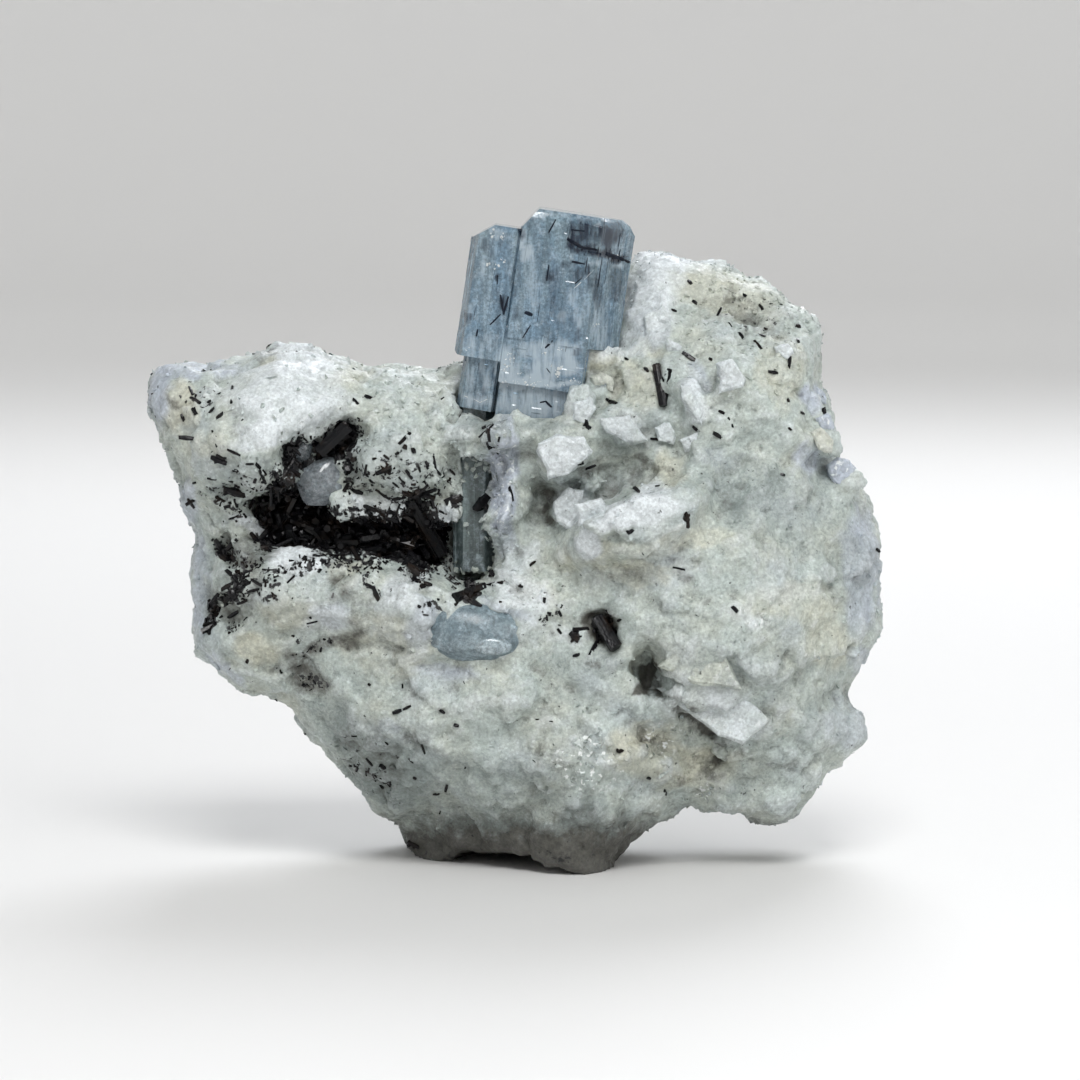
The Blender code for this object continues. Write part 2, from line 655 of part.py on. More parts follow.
def build_cluster(parts, cutters):
    meshes = crystal_meshes(0.0)
    cluster = add_object("aquamarine_cluster", meshes[0], parts)
    join(cluster, meshes[1:], "UNION", cutters)
    meshes[0].materials.append(finish("aquamarine", (0.30, 0.44, 0.54), 0.12, 0.9))


def build_crust(skin, parts, cutters):
    meshes = crust_meshes(skin, 0.0)
    crust = add_object("crust bed", meshes[0], parts)
    join(crust, meshes[1:], "UNION", cutters, "MANIFOLD")
    grown = settled_mesh(crust)
    grown.materials.append(finish("schorl", (0.012, 0.012, 0.014), 0.2))
    add_object("schorl_crust", grown, parts)


def build_single_crystals(skin, parts):
    """The pieces that are one crystal each."""
    black = finish("schorl prism", (0.012, 0.012, 0.014), 0.2)
    teal = finish("bud", (0.28, 0.42, 0.46), 0.15, 0.9)
    grey = finish("quartz", (0.3, 0.33, 0.36), 0.1, 0.8)
    pieces = [(needle.name, needle_mesh(needle, skin, 0.0), black) for needle in NEEDLES]
    pieces += [(p.name, pebble_mesh(p, skin, 0.0), look) for p, look in ((BUD, teal), (GRAIN, grey))]
    for name, mesh, material in pieces:
        add_object(name, mesh, parts)
        mesh.materials.append(material)


def centre_on_base(parts, cutters):
    """Stands the specimen with the middle of its box over the origin."""
    bpy.context.view_layer.update()
    graph = bpy.context.evaluated_depsgraph_get()
    corners = [
        vertex.co for piece in parts.objects for vertex in piece.evaluated_get(graph).data.vertices
    ]
    middle = [(min(side) + max(side)) / 2 for side in list(zip(*corners))[:2]]
    carrier = bpy.data.objects.new("specimen", None)
    carrier.location = (-middle[0], -middle[1], 0.0)
    for piece in list(parts.objects) + list(cutters.objects):
        piece.parent = carrier
    parts.objects.link(carrier)


def main():
    clear_scene()
    parts = bpy.data.collections.new("aquamarine specimen")
    cutters = bpy.data.collections.new("cutters")
    for collection in (parts, cutters):
        bpy.context.scene.collection.children.link(collection)
    mesh = stone_skin(parts)
    skin = skin_finder(mesh)
    build_matrix(mesh, skin, parts, cutters)
    build_cluster(parts, cutters)
    build_crust(skin, parts, cutters)
    build_single_crystals(skin, parts)
    centre_on_base(parts, cutters)


main()
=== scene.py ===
"""Looks of the aquamarine specimen: pale albite, a clear blue prism cluster and black schorl.

Lengths in the tables are millimetres, and the meshes are metres. A place on the front is given
by (u, v), where it shows in the upright plane through the middle of the specimen when it is
seen from the front: u to the right, v up from the base.
"""

import logging
import math
import random
from dataclasses import dataclass
from enum import Enum

import bmesh
import bpy
import numpy as np
from bmesh.types import BMEdge, BMesh, BMVert
from bpy.types import Collection, Material, Mesh, Node, NodeSocket, NodeTree, Object
from mathutils import Euler, Matrix, Vector, noise
from mathutils.bvhtree import BVHTree


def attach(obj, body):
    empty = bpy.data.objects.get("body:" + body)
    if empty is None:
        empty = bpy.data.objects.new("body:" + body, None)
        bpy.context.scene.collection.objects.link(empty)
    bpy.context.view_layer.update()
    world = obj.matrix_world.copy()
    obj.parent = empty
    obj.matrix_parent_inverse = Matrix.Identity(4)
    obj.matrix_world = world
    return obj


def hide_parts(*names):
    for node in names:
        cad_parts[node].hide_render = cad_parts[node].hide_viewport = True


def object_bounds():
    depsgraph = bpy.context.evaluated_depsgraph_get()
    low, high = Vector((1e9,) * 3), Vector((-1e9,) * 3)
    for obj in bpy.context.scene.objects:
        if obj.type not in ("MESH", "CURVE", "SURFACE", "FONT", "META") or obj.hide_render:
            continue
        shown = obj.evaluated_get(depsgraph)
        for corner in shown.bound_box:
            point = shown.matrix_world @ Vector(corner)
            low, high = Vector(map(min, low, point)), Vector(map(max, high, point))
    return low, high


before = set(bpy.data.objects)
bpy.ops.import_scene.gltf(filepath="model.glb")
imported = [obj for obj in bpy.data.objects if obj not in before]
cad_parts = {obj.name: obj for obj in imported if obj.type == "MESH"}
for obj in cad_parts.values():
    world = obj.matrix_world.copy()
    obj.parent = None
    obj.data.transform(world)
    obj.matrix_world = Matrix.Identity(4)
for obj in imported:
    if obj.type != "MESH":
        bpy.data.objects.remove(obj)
CAD_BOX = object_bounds()

MM = 0.001
BODY = "root"
NOISE_SEED = 1
LOG = logging.getLogger("specimen")
Pair = tuple[float, float]
Triple = tuple[float, float, float]


class Tone(Enum):
    """The stone's looks that vary from place to place; each is a number on its mesh points."""

    WHITE = "white"
    GREY = "grey"
    LILAC = "lilac"
    CREAM = "cream"
    BROWN = "brown"
    SOOT = "soot"
    SHINE = "shine"


class Slot(Enum):
    """Material slots of the record."""

    ALBITE = "albite"
    AQUAMARINE = "aquamarine"
    SCHORL = "schorl"
    QUARTZ = "quartz"


# ---------------------------------------------------------------- front view

@dataclass(frozen=True)
class FrontView:
    """The view from the front: where it is taken from, and what it shows where."""

    target: Triple = (2.18, 0.0, 29.1)
    distance: float = 491.0
    elevation: float = 5.0
    lens: float = 180.0

    def axes(self) -> tuple[Vector, Vector, Vector]:
        """The view's right, up and backward directions.

        Returns:
            Three directions of unit length.
        """
        tilt = math.radians(self.elevation)
        right = Vector((1.0, 0.0, 0.0))
        back = Vector((0.0, -math.cos(tilt), math.sin(tilt)))
        return right, back.cross(right), back

    def eye(self) -> Vector:
        """The place the view is taken from."""
        return Vector(self.target) + self.axes()[2] * self.distance

    def seen(self, points: np.ndarray) -> tuple[np.ndarray, np.ndarray]:
        """Where points show.

        Args:
            points: One row for each point.

        Returns:
            Their u and v.
        """
        right, up, back = (np.array(axis) for axis in self.axes())
        away = points - np.array(self.eye())
        scale = self.distance / -(away @ back)
        return away @ right * scale + self.target[0], away @ up * scale + self.target[2]

    def ray(self, u: float, v: float) -> Vector:
        """The direction from the eye to what shows at (u, v).

        Args:
            u: Across, in the front view.
            v: Up, in the front view.

        Returns:
            A direction of unit length.
        """
        right, up, _ = self.axes()
        place = Vector(self.target) + right * (u - self.target[0]) + up * (v - self.target[2])
        return (place - self.eye()).normalized()


VIEW = FrontView()


class Skin:
    """A mesh's surface, searched along lines of sight."""

    def __init__(self, mesh: Mesh) -> None:
        """Builds the search tree in millimetres."""
        corners = [vertex.co / MM for vertex in mesh.vertices]
        self.tree = BVHTree.FromPolygons(corners, [face.vertices for face in mesh.polygons])

    def at(self, u: float, v: float) -> tuple[Vector, Vector]:
        """The place on the skin that shows at (u, v).

        Args:
            u: Across, in the front view.
            v: Up, in the front view.

        Returns:
            The place and the skin's outward normal there.
        """
        place, normal, _, _ = self.tree.ray_cast(VIEW.eye(), VIEW.ray(u, v))
        if place is None:
            place, normal, _, _ = self.tree.find_nearest(VIEW.eye() + VIEW.ray(u, v) * VIEW.distance)
        return place, normal


# ---------------------------------------------------------------- small mesh helpers

def new_object(name: str, mesh: Mesh) -> Object:
    """An object at the origin that shows the mesh.

    Args:
        name: Its name.
        mesh: What it shows.

    Returns:
        The object.
    """
    piece = bpy.data.objects.new(name, mesh)
    bpy.context.scene.collection.objects.link(piece)
    return piece


def plain_mesh(work: BMesh, name: str) -> Mesh:
    """A mesh from one under construction, which is freed.

    Args:
        work: The mesh under construction.
        name: The new mesh's name.

    Returns:
        The mesh.
    """
    mesh = bpy.data.meshes.new(name)
    work.to_mesh(mesh)
    work.free()
    return mesh


def mesh_of(work: BMesh, name: str) -> Mesh:
    """A mesh in metres from one made in millimetres.

    Args:
        work: The mesh under construction, which is freed.
        name: The new mesh's name.

    Returns:
        The mesh, with its faces pointing out.
    """
    bmesh.ops.recalc_face_normals(work, faces=work.faces)
    bmesh.ops.scale(work, vec=(MM, MM, MM), verts=work.verts)
    return plain_mesh(work, name)


def merged_copy(node: str) -> Mesh:
    """A copy of a CAD node's mesh with its corners merged.

    Args:
        node: The node's name.

    Returns:
        The copy, in metres.
    """
    work = bmesh.new()
    work.from_mesh(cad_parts[node].data)
    bmesh.ops.remove_doubles(work, verts=work.verts, dist=MM * MM)
    return plain_mesh(work, node)


def evaluated(piece: Object) -> Mesh:
    """The piece's mesh with its modifiers applied."""
    graph = bpy.context.evaluated_depsgraph_get()
    return bpy.data.meshes.new_from_object(piece.evaluated_get(graph))


def remeshed(mesh: Mesh, voxel: float) -> Mesh:
    """The same body with an even skin of small squares.

    Args:
        mesh: A closed mesh.
        voxel: The squares' size in millimetres.

    Returns:
        A new mesh.
    """
    piece = new_object("remesh", mesh)
    modifier = piece.modifiers.new("even skin", "REMESH")
    modifier.mode = "VOXEL"
    modifier.voxel_size = voxel * MM
    even = evaluated(piece)
    bpy.data.objects.remove(piece)
    return even


def read_points(mesh: Mesh) -> np.ndarray:
    """The mesh's points in millimetres, one row each.

    Args:
        mesh: Whose points.

    Returns:
        The points.
    """
    flat = np.empty(len(mesh.vertices) * 3, dtype=np.float32)
    mesh.vertices.foreach_get("co", flat)
    return flat.reshape(-1, 3).astype(float) / MM


def write_points(mesh: Mesh, points: np.ndarray) -> None:
    """Moves the mesh's points to these places in millimetres."""
    mesh.vertices.foreach_set("co", (points * MM).astype(np.float32).ravel())
    mesh.update()


def read_normals(mesh: Mesh) -> np.ndarray:
    """The mesh's outward direction at each point.

    Args:
        mesh: Whose points.

    Returns:
        The directions, one row each.
    """
    flat = np.empty(len(mesh.vertices) * 3, dtype=np.float32)
    mesh.vertex_normals.foreach_get("vector", flat)
    return flat.reshape(-1, 3).astype(float)


def faces_front(normals: np.ndarray) -> np.ndarray:
    """Whether each point's outward direction leans to the front."""
    return normals[:, 1] < -0.1


def store(mesh: Mesh, name: str, values: np.ndarray) -> None:
    """Stores one number for each point under a name."""
    layer = mesh.attributes.get(name) or mesh.attributes.new(name, "FLOAT", "POINT")
    layer.data.foreach_set("value", values.astype(np.float32))


def waves(points: np.ndarray, size: float, shift: Triple = (0.0, 0.0, 0.0)) -> np.ndarray:
    """Soft noise at each point, with swells about size millimetres wide."""
    return np.array([noise.noise(Vector(p) / size + Vector(shift)) for p in points])


def wander(points: np.ndarray, pitch: float) -> np.ndarray:
    """A soft sideways shift for each point, which changes faster where pitch is high."""
    return np.array([noise.noise_vector(Vector(p) * pitch) for p in points])


def point_pairs(mesh: Mesh) -> np.ndarray:
    """The two point numbers of each edge."""
    return np.array([edge.vertices[:] for edge in mesh.edges])


def combined(body: Mesh, others: list[Mesh], operation: str) -> Mesh:
    """The body with the others grown into it or cut out of it.

    Args:
        body: A closed mesh.
        others: More of them.
        operation: UNION or DIFFERENCE.

    Returns:
        One closed mesh with no faces left inside.
    """
    whole = new_object("whole", body)
    helpers = [new_object(other.name, other) for other in others]
    for helper in helpers:
        step = whole.modifiers.new("step", "BOOLEAN")
        step.operation, step.solver, step.object = operation, "MANIFOLD", helper
    made = evaluated(whole)
    for helper in [whole] + helpers:
        bpy.data.objects.remove(helper)
    return made


def drawn_back(work: BMesh, ring: list[BMVert], depth: Vector) -> None:
    """Closes a ring of corners and draws it back by depth, so that it bounds a solid.

    Args:
        work: The mesh under construction.
        ring: The corners, in order.
        depth: How far and which way.
    """
    drawn = bmesh.ops.extrude_face_region(work, geom=[work.faces.new(ring)])
    moved = [item for item in drawn["geom"] if isinstance(item, BMVert)]
    bmesh.ops.translate(work, vec=depth, verts=moved)


def bridged(work: BMesh, rings: list[list[BMVert]]) -> None:
    """Joins each ring of corners to the next with four-sided faces.

    Args:
        work: The mesh under construction.
        rings: The rings, with as many corners each.
    """
    for lower, upper in zip(rings, rings[1:]):
        for side in range(len(lower)):
            there = (side + 1) % len(lower)
            work.faces.new((lower[side], lower[there], upper[there], upper[side]))


def neighbour_mean(edges: np.ndarray, values: np.ndarray) -> np.ndarray:
    """The mean of each point's neighbours.

    Args:
        edges: Two point numbers for each edge.
        values: One row for each point.

    Returns:
        One row for each point.
    """
    total = np.zeros_like(values)
    count = np.bincount(edges.ravel(), minlength=len(values)).astype(float)
    for here, there in ((0, 1), (1, 0)):
        for axis in range(values.shape[1]):
            total[:, axis] += np.bincount(
                edges[:, here], weights=values[edges[:, there], axis], minlength=len(values)
            )
    return total / np.maximum(count, 1.0)[:, None]


def smooth_step(low: float, high: float, values: np.ndarray) -> np.ndarray:
    """0 below low, 1 above high, and an even ramp with soft ends between them."""
    share = np.clip((values - low) / (high - low), 0.0, 1.0)
    return share * share * (3.0 - 2.0 * share)


# ---------------------------------------------------------------- node trees

class Sheet:
    """A node tree that is put together step by step."""

    def __init__(self, tree: NodeTree) -> None:
        """Keeps the tree."""
        self.tree = tree

    def feed(self, node: Node, inputs: dict) -> None:
        """Gives inputs of a node their values, or links them where the value is a socket.

        Args:
            node: The node.
            inputs: Values or sockets, by name or number.
        """
        for key, value in inputs.items():
            if isinstance(value, NodeSocket):
                self.tree.links.new(value, node.inputs[key])
            else:
                node.inputs[key].default_value = value

    def node(self, kind: str, inputs: dict | None = None, **settings: object) -> Node:
        """Adds a node.

        Args:
            kind: Its type.
            inputs: Values or sockets for its inputs, by name or number.
            **settings: Its own properties.

        Returns:
            The node.
        """
        made = self.tree.nodes.new(kind)
        for name, value in settings.items():
            setattr(made, name, value)
        self.feed(made, inputs or {})
        return made

    def math(self, operation: str, first: object, second: object) -> NodeSocket:
        """The result of a Math node."""
        return self.node("ShaderNodeMath", {0: first, 1: second}, operation=operation).outputs[0]

    def times(self, first: object, second: object) -> NodeSocket:
        """The product of two numbers."""
        return self.math("MULTIPLY", first, second)

    def plus(self, first: object, second: object) -> NodeSocket:
        """The sum of two numbers."""
        return self.math("ADD", first, second)

    def mix(self, share: object, first: object, second: object, blend: str = "MIX") -> NodeSocket:
        """A colour between two others.

        Args:
            share: How much of the second.
            first: A colour or a socket.
            second: Another.
            blend: How they are blended.

        Returns:
            The colour's socket.
        """
        colours = {6: first, 7: second}
        full = {key: (*value, 1.0) if isinstance(value, tuple) else value for key, value in colours.items()}
        return self.node("ShaderNodeMix", {0: share, **full}, data_type="RGBA", blend_type=blend).outputs[2]

    def shaded(self, colour: object, light: object) -> NodeSocket:
        """The colour times a number."""
        grey = self.node("ShaderNodeCombineColor", {0: light, 1: light, 2: light})
        return self.mix(1.0, colour, grey.outputs[0], "MULTIPLY")

    def spread(self, value: object, low: float, high: float, least: float, most: float) -> NodeSocket:
        """Least at low and most at high, level outside."""
        inputs = {0: value, 1: low, 2: high, 3: least, 4: most}
        return self.node("ShaderNodeMapRange", inputs, clamp=True).outputs[0]

    def ramp(self, value: object, low: float, high: float) -> NodeSocket:
        """0 at low and 1 at high, level outside."""
        return self.spread(value, low, high, 0.0, 1.0)

    def tone(self, name: str) -> NodeSocket:
        """A number stored on the mesh's points."""
        return self.node("ShaderNodeAttribute", attribute_name=name).outputs["Fac"]

    def grain(self, place: object, size: float, detail: float = 2.0, roughness: float = 0.5) -> NodeSocket:
        """Soft noise whose swells are about size millimetres wide."""
        inputs = {"Vector": place, "Scale": 1.0 / (size * MM), "Detail": detail, "Roughness": roughness}
        return self.node("ShaderNodeTexNoise", inputs).outputs["Fac"]

    def swing(self, value: object, gain: float) -> NodeSocket:
        """Noise about nought instead of a half, times gain."""
        return self.times(self.math("SUBTRACT", value, 0.5), gain)

    def cells(self, place: object, size: float) -> Node:
        """Cells of about size millimetres."""
        return self.node("ShaderNodeTexVoronoi", {"Vector": place, "Scale": 1.0 / (size * MM)})

    def chance(self, cells: Node, channel: int) -> NodeSocket:
        """A number that differs from cell to cell."""
        return self.node("ShaderNodeSeparateColor", {0: cells.outputs["Color"]}).outputs[channel]

    def bump(self, height: object, strength: float, reach: float, **more: NodeSocket) -> NodeSocket:
        """A normal that follows the height, by reach millimetres at most."""
        inputs = {"Height": height, "Strength": strength, "Distance": reach * MM, **more}
        return self.node("ShaderNodeBump", inputs).outputs[0]


def new_material(name: str) -> tuple[Material, Sheet, Node]:
    """A material with its tree and its main shader.

    Args:
        name: Its name.

    Returns:
        The material, its tree and its main shader.
    """
    material = bpy.data.materials.new(name)
    material.use_nodes = True
    sheet = Sheet(material.node_tree)
    return material, sheet, material.node_tree.nodes["Principled BSDF"]


def object_place(sheet: Sheet) -> NodeSocket:
    """The place on the object, in metres."""
    return sheet.node("ShaderNodeTexCoord").outputs["Object"]


# ---------------------------------------------------------------- finishes

# A noise in a finish is (size in millimetres, detail, roughness), and a range is (low, high).

@dataclass(frozen=True)
class AlbiteFinish:
    """Sugary, slightly see-through albite, stained here and there, with painted shade in its hollows and near
    its foot and painted glints where it shines.
    """

    body: Triple = (0.41, 0.465, 0.44)
    white: Triple = (0.61, 0.65, 0.665)
    grey: Triple = (0.20, 0.235, 0.225)
    lilac: Triple = (0.40, 0.44, 0.51)
    cream: Triple = (0.50, 0.495, 0.395)
    # The next two colours serve both brown stained patches and painted shade in crevices and near the foot.
    brown: Triple = (0.032, 0.028, 0.022)
    dust_and_shade: Triple = (0.085, 0.080, 0.065)
    # The near-white colour of painted glints.
    painted_glint: Triple = (0.80, 0.83, 0.82)
    black: Triple = (0.010, 0.010, 0.011)
    cream_noise: Triple = (4.5, 6.0, 0.6)
    lilac_noise: Triple = (6.5, 5.0, 0.6)
    fine_noise: Triple = (0.8, 7.0, 0.80)
    ragged_noise: Triple = (1.9, 7.0, 0.72)
    dusty_noise: Triple = (0.26, 4.0, 0.75)
    brown_noise: Triple = (1.1, 8.0, 0.8)
    dirt_and_shade_noise: Triple = (0.5, 5.0, 0.75)
    soot_noise: Triple = (0.6, 3.0, 0.6)
    rough_noise: Triple = (0.30, 4.0, 0.70)
    dusty_range: Pair = (0.36, 0.64)
    dusty_light: Pair = (0.84, 1.16)
    bright_range: Pair = (0.15, 0.85)
    bright_light: Pair = (0.85, 1.13)
    tone_range: Pair = (0.05, 1.0)
    tone_fade: Pair = (0.0, 0.2)
    raggedness: float = 1.5
    brown_range: Pair = (0.15, 1.25)
    brown_fade: Pair = (0.0, 0.3)
    brown_raggedness: float = 3.0
    dirt_and_shade_range: Pair = (0.42, 0.66)
    grain: float = 0.62
    small_grain: float = 0.42
    brightness: Pair = (0.35, 0.65)
    roughness: Pair = (0.62, 0.34)
    polish: float = 0.22
    painted_glint_size: float = 0.5
    painted_glint_edge: Pair = (0.60, 0.66)
    stain_and_shade: float = 0.92
    soot_gain: float = 0.17
    black_edge: Pair = (0.68, 0.74)
    facet_bump: Pair = (0.32, 0.10)
    rough_bump: Pair = (0.6, 0.15)
    ior: float = 1.53
    see_through: float = 0.22
    reach: Triple = (1.0, 0.95, 0.85)
    reach_scale: float = 0.0011

    def material(self, name: str) -> Material:
        """Builds the material.

        Args:
            name: Its name.

        Returns:
            The material.
        """
        material, sheet, shader = new_material(name)
        place = object_place(sheet)
        cells = sheet.cells(place, self.grain)
        small = sheet.cells(place, self.grain * self.small_grain)
        large_part = sheet.times(sheet.chance(cells, 0), self.brightness[0])
        bright = sheet.plus(large_part, sheet.times(sheet.chance(small, 1), self.brightness[1]))
        fine = sheet.grain(place, *self.fine_noise)
        colour = self.body
        for value, low, high, share, tint in (
            (sheet.grain(place, *self.cream_noise), 0.40, 0.70, 0.5, self.cream),
            (sheet.grain(place, *self.lilac_noise), 0.50, 0.72, 0.4, self.lilac),
            (fine, 0.52, 0.70, 0.5, self.white), (fine, 0.47, 0.32, 0.5, self.grey),
        ):
            colour = sheet.mix(sheet.times(sheet.ramp(value, low, high), share), colour, tint)
        ragged = sheet.swing(sheet.grain(place, *self.ragged_noise), self.raggedness)
        for tone, tint, share in (
            (Tone.CREAM, self.cream, 0.9), (Tone.LILAC, self.lilac, 0.9), (Tone.GREY, self.grey, 0.9),
            (Tone.WHITE, self.white, 1.0),
        ):
            stored = sheet.tone(tone.value)
            amount = sheet.times(sheet.ramp(sheet.plus(stored, ragged), *self.tone_range), share)
            colour = sheet.mix(sheet.times(amount, sheet.ramp(stored, *self.tone_fade)), colour, tint)
        dusty = sheet.spread(sheet.grain(place, *self.dusty_noise), *self.dusty_range, *self.dusty_light)
        lit = sheet.spread(bright, *self.bright_range, *self.bright_light)
        colour = sheet.shaded(colour, sheet.times(lit, dusty))
        colour = self.stains_and_shade(sheet, place, colour)
        # Painted glints: near-white specks where the stone is shiny.
        shine = sheet.tone(Tone.SHINE.value)
        painted_glint = sheet.times(sheet.ramp(sheet.grain(place, self.painted_glint_size), *self.painted_glint_edge), shine)
        sheet.feed(shader, {
            "Base Color": sheet.mix(painted_glint, colour, self.painted_glint),
            "Roughness": sheet.math("SUBTRACT", sheet.spread(bright, 0.0, 1.0, *self.roughness),
                                    sheet.times(shine, self.polish)),
            "Normal": self.bumps(sheet, place, cells), "IOR": self.ior,
            "Subsurface Weight": self.see_through, "Subsurface Radius": self.reach,
            "Subsurface Scale": self.reach_scale,
        })
        shader.subsurface_method = "BURLEY"
        return material

    def stains_and_shade(self, sheet: Sheet, place: NodeSocket, colour: NodeSocket) -> NodeSocket:
        """Brown stained patches, painted shade in the hollows and near the foot, and fine black grains.

        Args:
            sheet: The tree.
            place: Place on the object.
            colour: What is stained.

        Returns:
            The stained colour.
        """
        stored = sheet.tone(Tone.BROWN.value)
        ragged = sheet.swing(sheet.grain(place, *self.brown_noise), self.brown_raggedness)
        brown = sheet.ramp(sheet.plus(stored, ragged), *self.brown_range)
        brown = sheet.times(brown, sheet.ramp(stored, *self.brown_fade))
        # Both the stained patches and the painted shade of the brown tone take these colours.
        dirt_and_shade_mottle = sheet.ramp(sheet.grain(place, *self.dirt_and_shade_noise), *self.dirt_and_shade_range)
        dirt_and_shade = sheet.mix(dirt_and_shade_mottle, self.brown, self.dust_and_shade)
        colour = sheet.mix(sheet.times(brown, self.stain_and_shade), colour, dirt_and_shade)
        sooty = sheet.times(sheet.tone(Tone.SOOT.value), self.soot_gain)
        soot = sheet.plus(sheet.grain(place, *self.soot_noise), sooty)
        return sheet.mix(sheet.ramp(soot, *self.black_edge), colour, self.black)

    def bumps(self, sheet: Sheet, place: NodeSocket, cells: Node) -> NodeSocket:
        """Sugary facets and fine roughness as a normal."""
        facets = sheet.bump(cells.outputs["Distance"], *self.facet_bump)
        return sheet.bump(sheet.grain(place, *self.rough_noise), *self.rough_bump, Normal=facets)


@dataclass(frozen=True)
class SchorlFinish:
    """Black, glossy schorl with fine lines along it."""

    colour: Triple = (0.006, 0.006, 0.007)
    rust: Triple = (0.016, 0.011, 0.008)
    ior: float = 1.64
    gloss: float = 0.15
    rust_noise: Pair = (1.6, 3.0)
    rust_range: Pair = (0.5, 0.7)
    gloss_noise: Pair = (0.7, 3.0)
    roughness: Pair = (0.06, 0.26)
    line_noise: Pair = (0.22, 3.0)
    line_bump: Pair = (0.35, 0.08)

    def material(self, name: str) -> Material:
        """Builds the material.

        Args:
            name: Its name.

        Returns:
            The material.
        """
        material, sheet, shader = new_material(name)
        place = object_place(sheet)
        rusty = sheet.ramp(sheet.grain(place, *self.rust_noise), *self.rust_range)
        sheet.feed(shader, {
            "Base Color": sheet.mix(rusty, self.colour, self.rust),
            "Roughness": sheet.spread(sheet.grain(place, *self.gloss_noise), 0.0, 1.0, *self.roughness),
            "Normal": sheet.bump(sheet.grain(place, *self.line_noise), *self.line_bump),
            "IOR": self.ior, "Specular IOR Level": self.gloss,
        })
        return material


@dataclass(frozen=True)
class ClearFinish:
    """Clear crystal: what its skin and its depth do to light."""

    skin: Triple
    cloud: Triple
    depth_colour: Triple
    density: float
    transmission: float
    ior: float
    roughness: Pair = (0.03, 0.16)
    milk: Triple = (0.52, 0.62, 0.69)
    shade: Triple = (0.010, 0.022, 0.045)
    tinge: Triple = (0.26, 0.34, 0.335)
    streak_noise: Triple = (0.42, 5.0, 0.62)
    cloud_noise: Triple = (1.7, 4.0, 0.6)
    cloud_range: Pair = (0.42, 0.68)
    tinge_noise: Triple = (2.6, 3.0, 0.6)
    tinge_range: Pair = (0.48, 0.70)
    tinge_share: float = 0.45
    mottle_noise: Triple = (0.9, 6.0, 0.75)
    mottle_range: Pair = (0.50, 0.72)
    mottle_share: float = 0.6
    dusty_noise: Triple = (0.30, 4.0, 0.80)
    dusty_range: Pair = (0.38, 0.62)
    dusty_light: Pair = (0.68, 1.34)
    streak_range: Pair = (0.36, 0.66)
    streak_light: Pair = (0.76, 1.24)
    gloss_range: Pair = (0.3, 0.75)
    tone_fade: Pair = (0.0, 0.3)
    streak_bump: Pair = (0.25, 0.06)
    breakage: float = 2.8
    stretch: Triple = (1.0, 1.0, 0.14)
    lean: float = 8.5

    def material(self, name: str) -> Material:
        """Builds the material.

        Args:
            name: Its name.

        Returns:
            The material.
        """
        material, sheet, shader = new_material(name)
        turned = sheet.node(
            "ShaderNodeMapping",
            {"Vector": object_place(sheet), "Rotation": (0.0, -math.radians(self.lean), 0.0),
             "Scale": self.stretch},
        ).outputs[0]
        place = object_place(sheet)
        streaks = sheet.grain(turned, *self.streak_noise)
        clouds = sheet.ramp(sheet.grain(turned, *self.cloud_noise), *self.cloud_range)
        colour = sheet.mix(clouds, self.skin, self.cloud)
        if self.lean:
            tinge = sheet.ramp(sheet.grain(turned, *self.tinge_noise), *self.tinge_range)
            colour = sheet.mix(sheet.times(tinge, self.tinge_share), colour, self.tinge)
        mottle = sheet.ramp(sheet.grain(place, *self.mottle_noise), *self.mottle_range)
        colour = sheet.mix(sheet.times(mottle, self.mottle_share), colour, self.milk)
        dusty = sheet.spread(sheet.grain(place, *self.dusty_noise), *self.dusty_range, *self.dusty_light)
        lit = sheet.spread(streaks, *self.streak_range, *self.streak_light)
        colour = sheet.shaded(colour, sheet.times(lit, dusty))
        broken = sheet.swing(streaks, self.breakage)
        for name, low, high, tint in (("milky", 0.0, 1.0, self.milk), ("dark", 0.1, 1.1, self.shade)):
            stored = sheet.tone(name)
            amount = sheet.times(sheet.plus(stored, broken), sheet.ramp(stored, *self.tone_fade))
            colour = sheet.mix(sheet.ramp(amount, low, high), colour, tint)
        sheet.feed(shader, {
            "Base Color": colour,
            "Roughness": sheet.spread(streaks, *self.gloss_range, *self.roughness),
            "Normal": sheet.bump(streaks, *self.streak_bump),
            "Transmission Weight": self.transmission, "IOR": self.ior,
        })
        depth = sheet.node(
            "ShaderNodeVolumeAbsorption", {"Color": (*self.depth_colour, 1.0), "Density": self.density}
        )
        sheet.feed(sheet.tree.nodes["Material Output"], {"Volume": depth.outputs[0]})
        return material


@dataclass(frozen=True)
class VeilFinish:
    """Milky or dark matter inside the clear crystals."""

    colour: Triple = (0.52, 0.60, 0.65)
    light: Triple = (0.68, 0.72, 0.74)
    gloss: float = 0.5
    roughness: float = 0.5
    cloud: float = 1.2
    cloud_range: Pair = (0.35, 0.7)

    def material(self, name: str) -> Material:
        """Builds the material.

        Args:
            name: Its name.

        Returns:
            The material.
        """
        material, sheet, shader = new_material(name)
        place = object_place(sheet)
        clouds = sheet.ramp(sheet.grain(place, self.cloud), *self.cloud_range)
        tint = sheet.mix(clouds, self.colour, self.light)
        values = {"Base Color": tint, "Roughness": self.roughness, "Specular IOR Level": self.gloss}
        sheet.feed(shader, values)
        return material


EVEN = {"stretch": (1.0, 1.0, 1.0), "lean": 0.0}


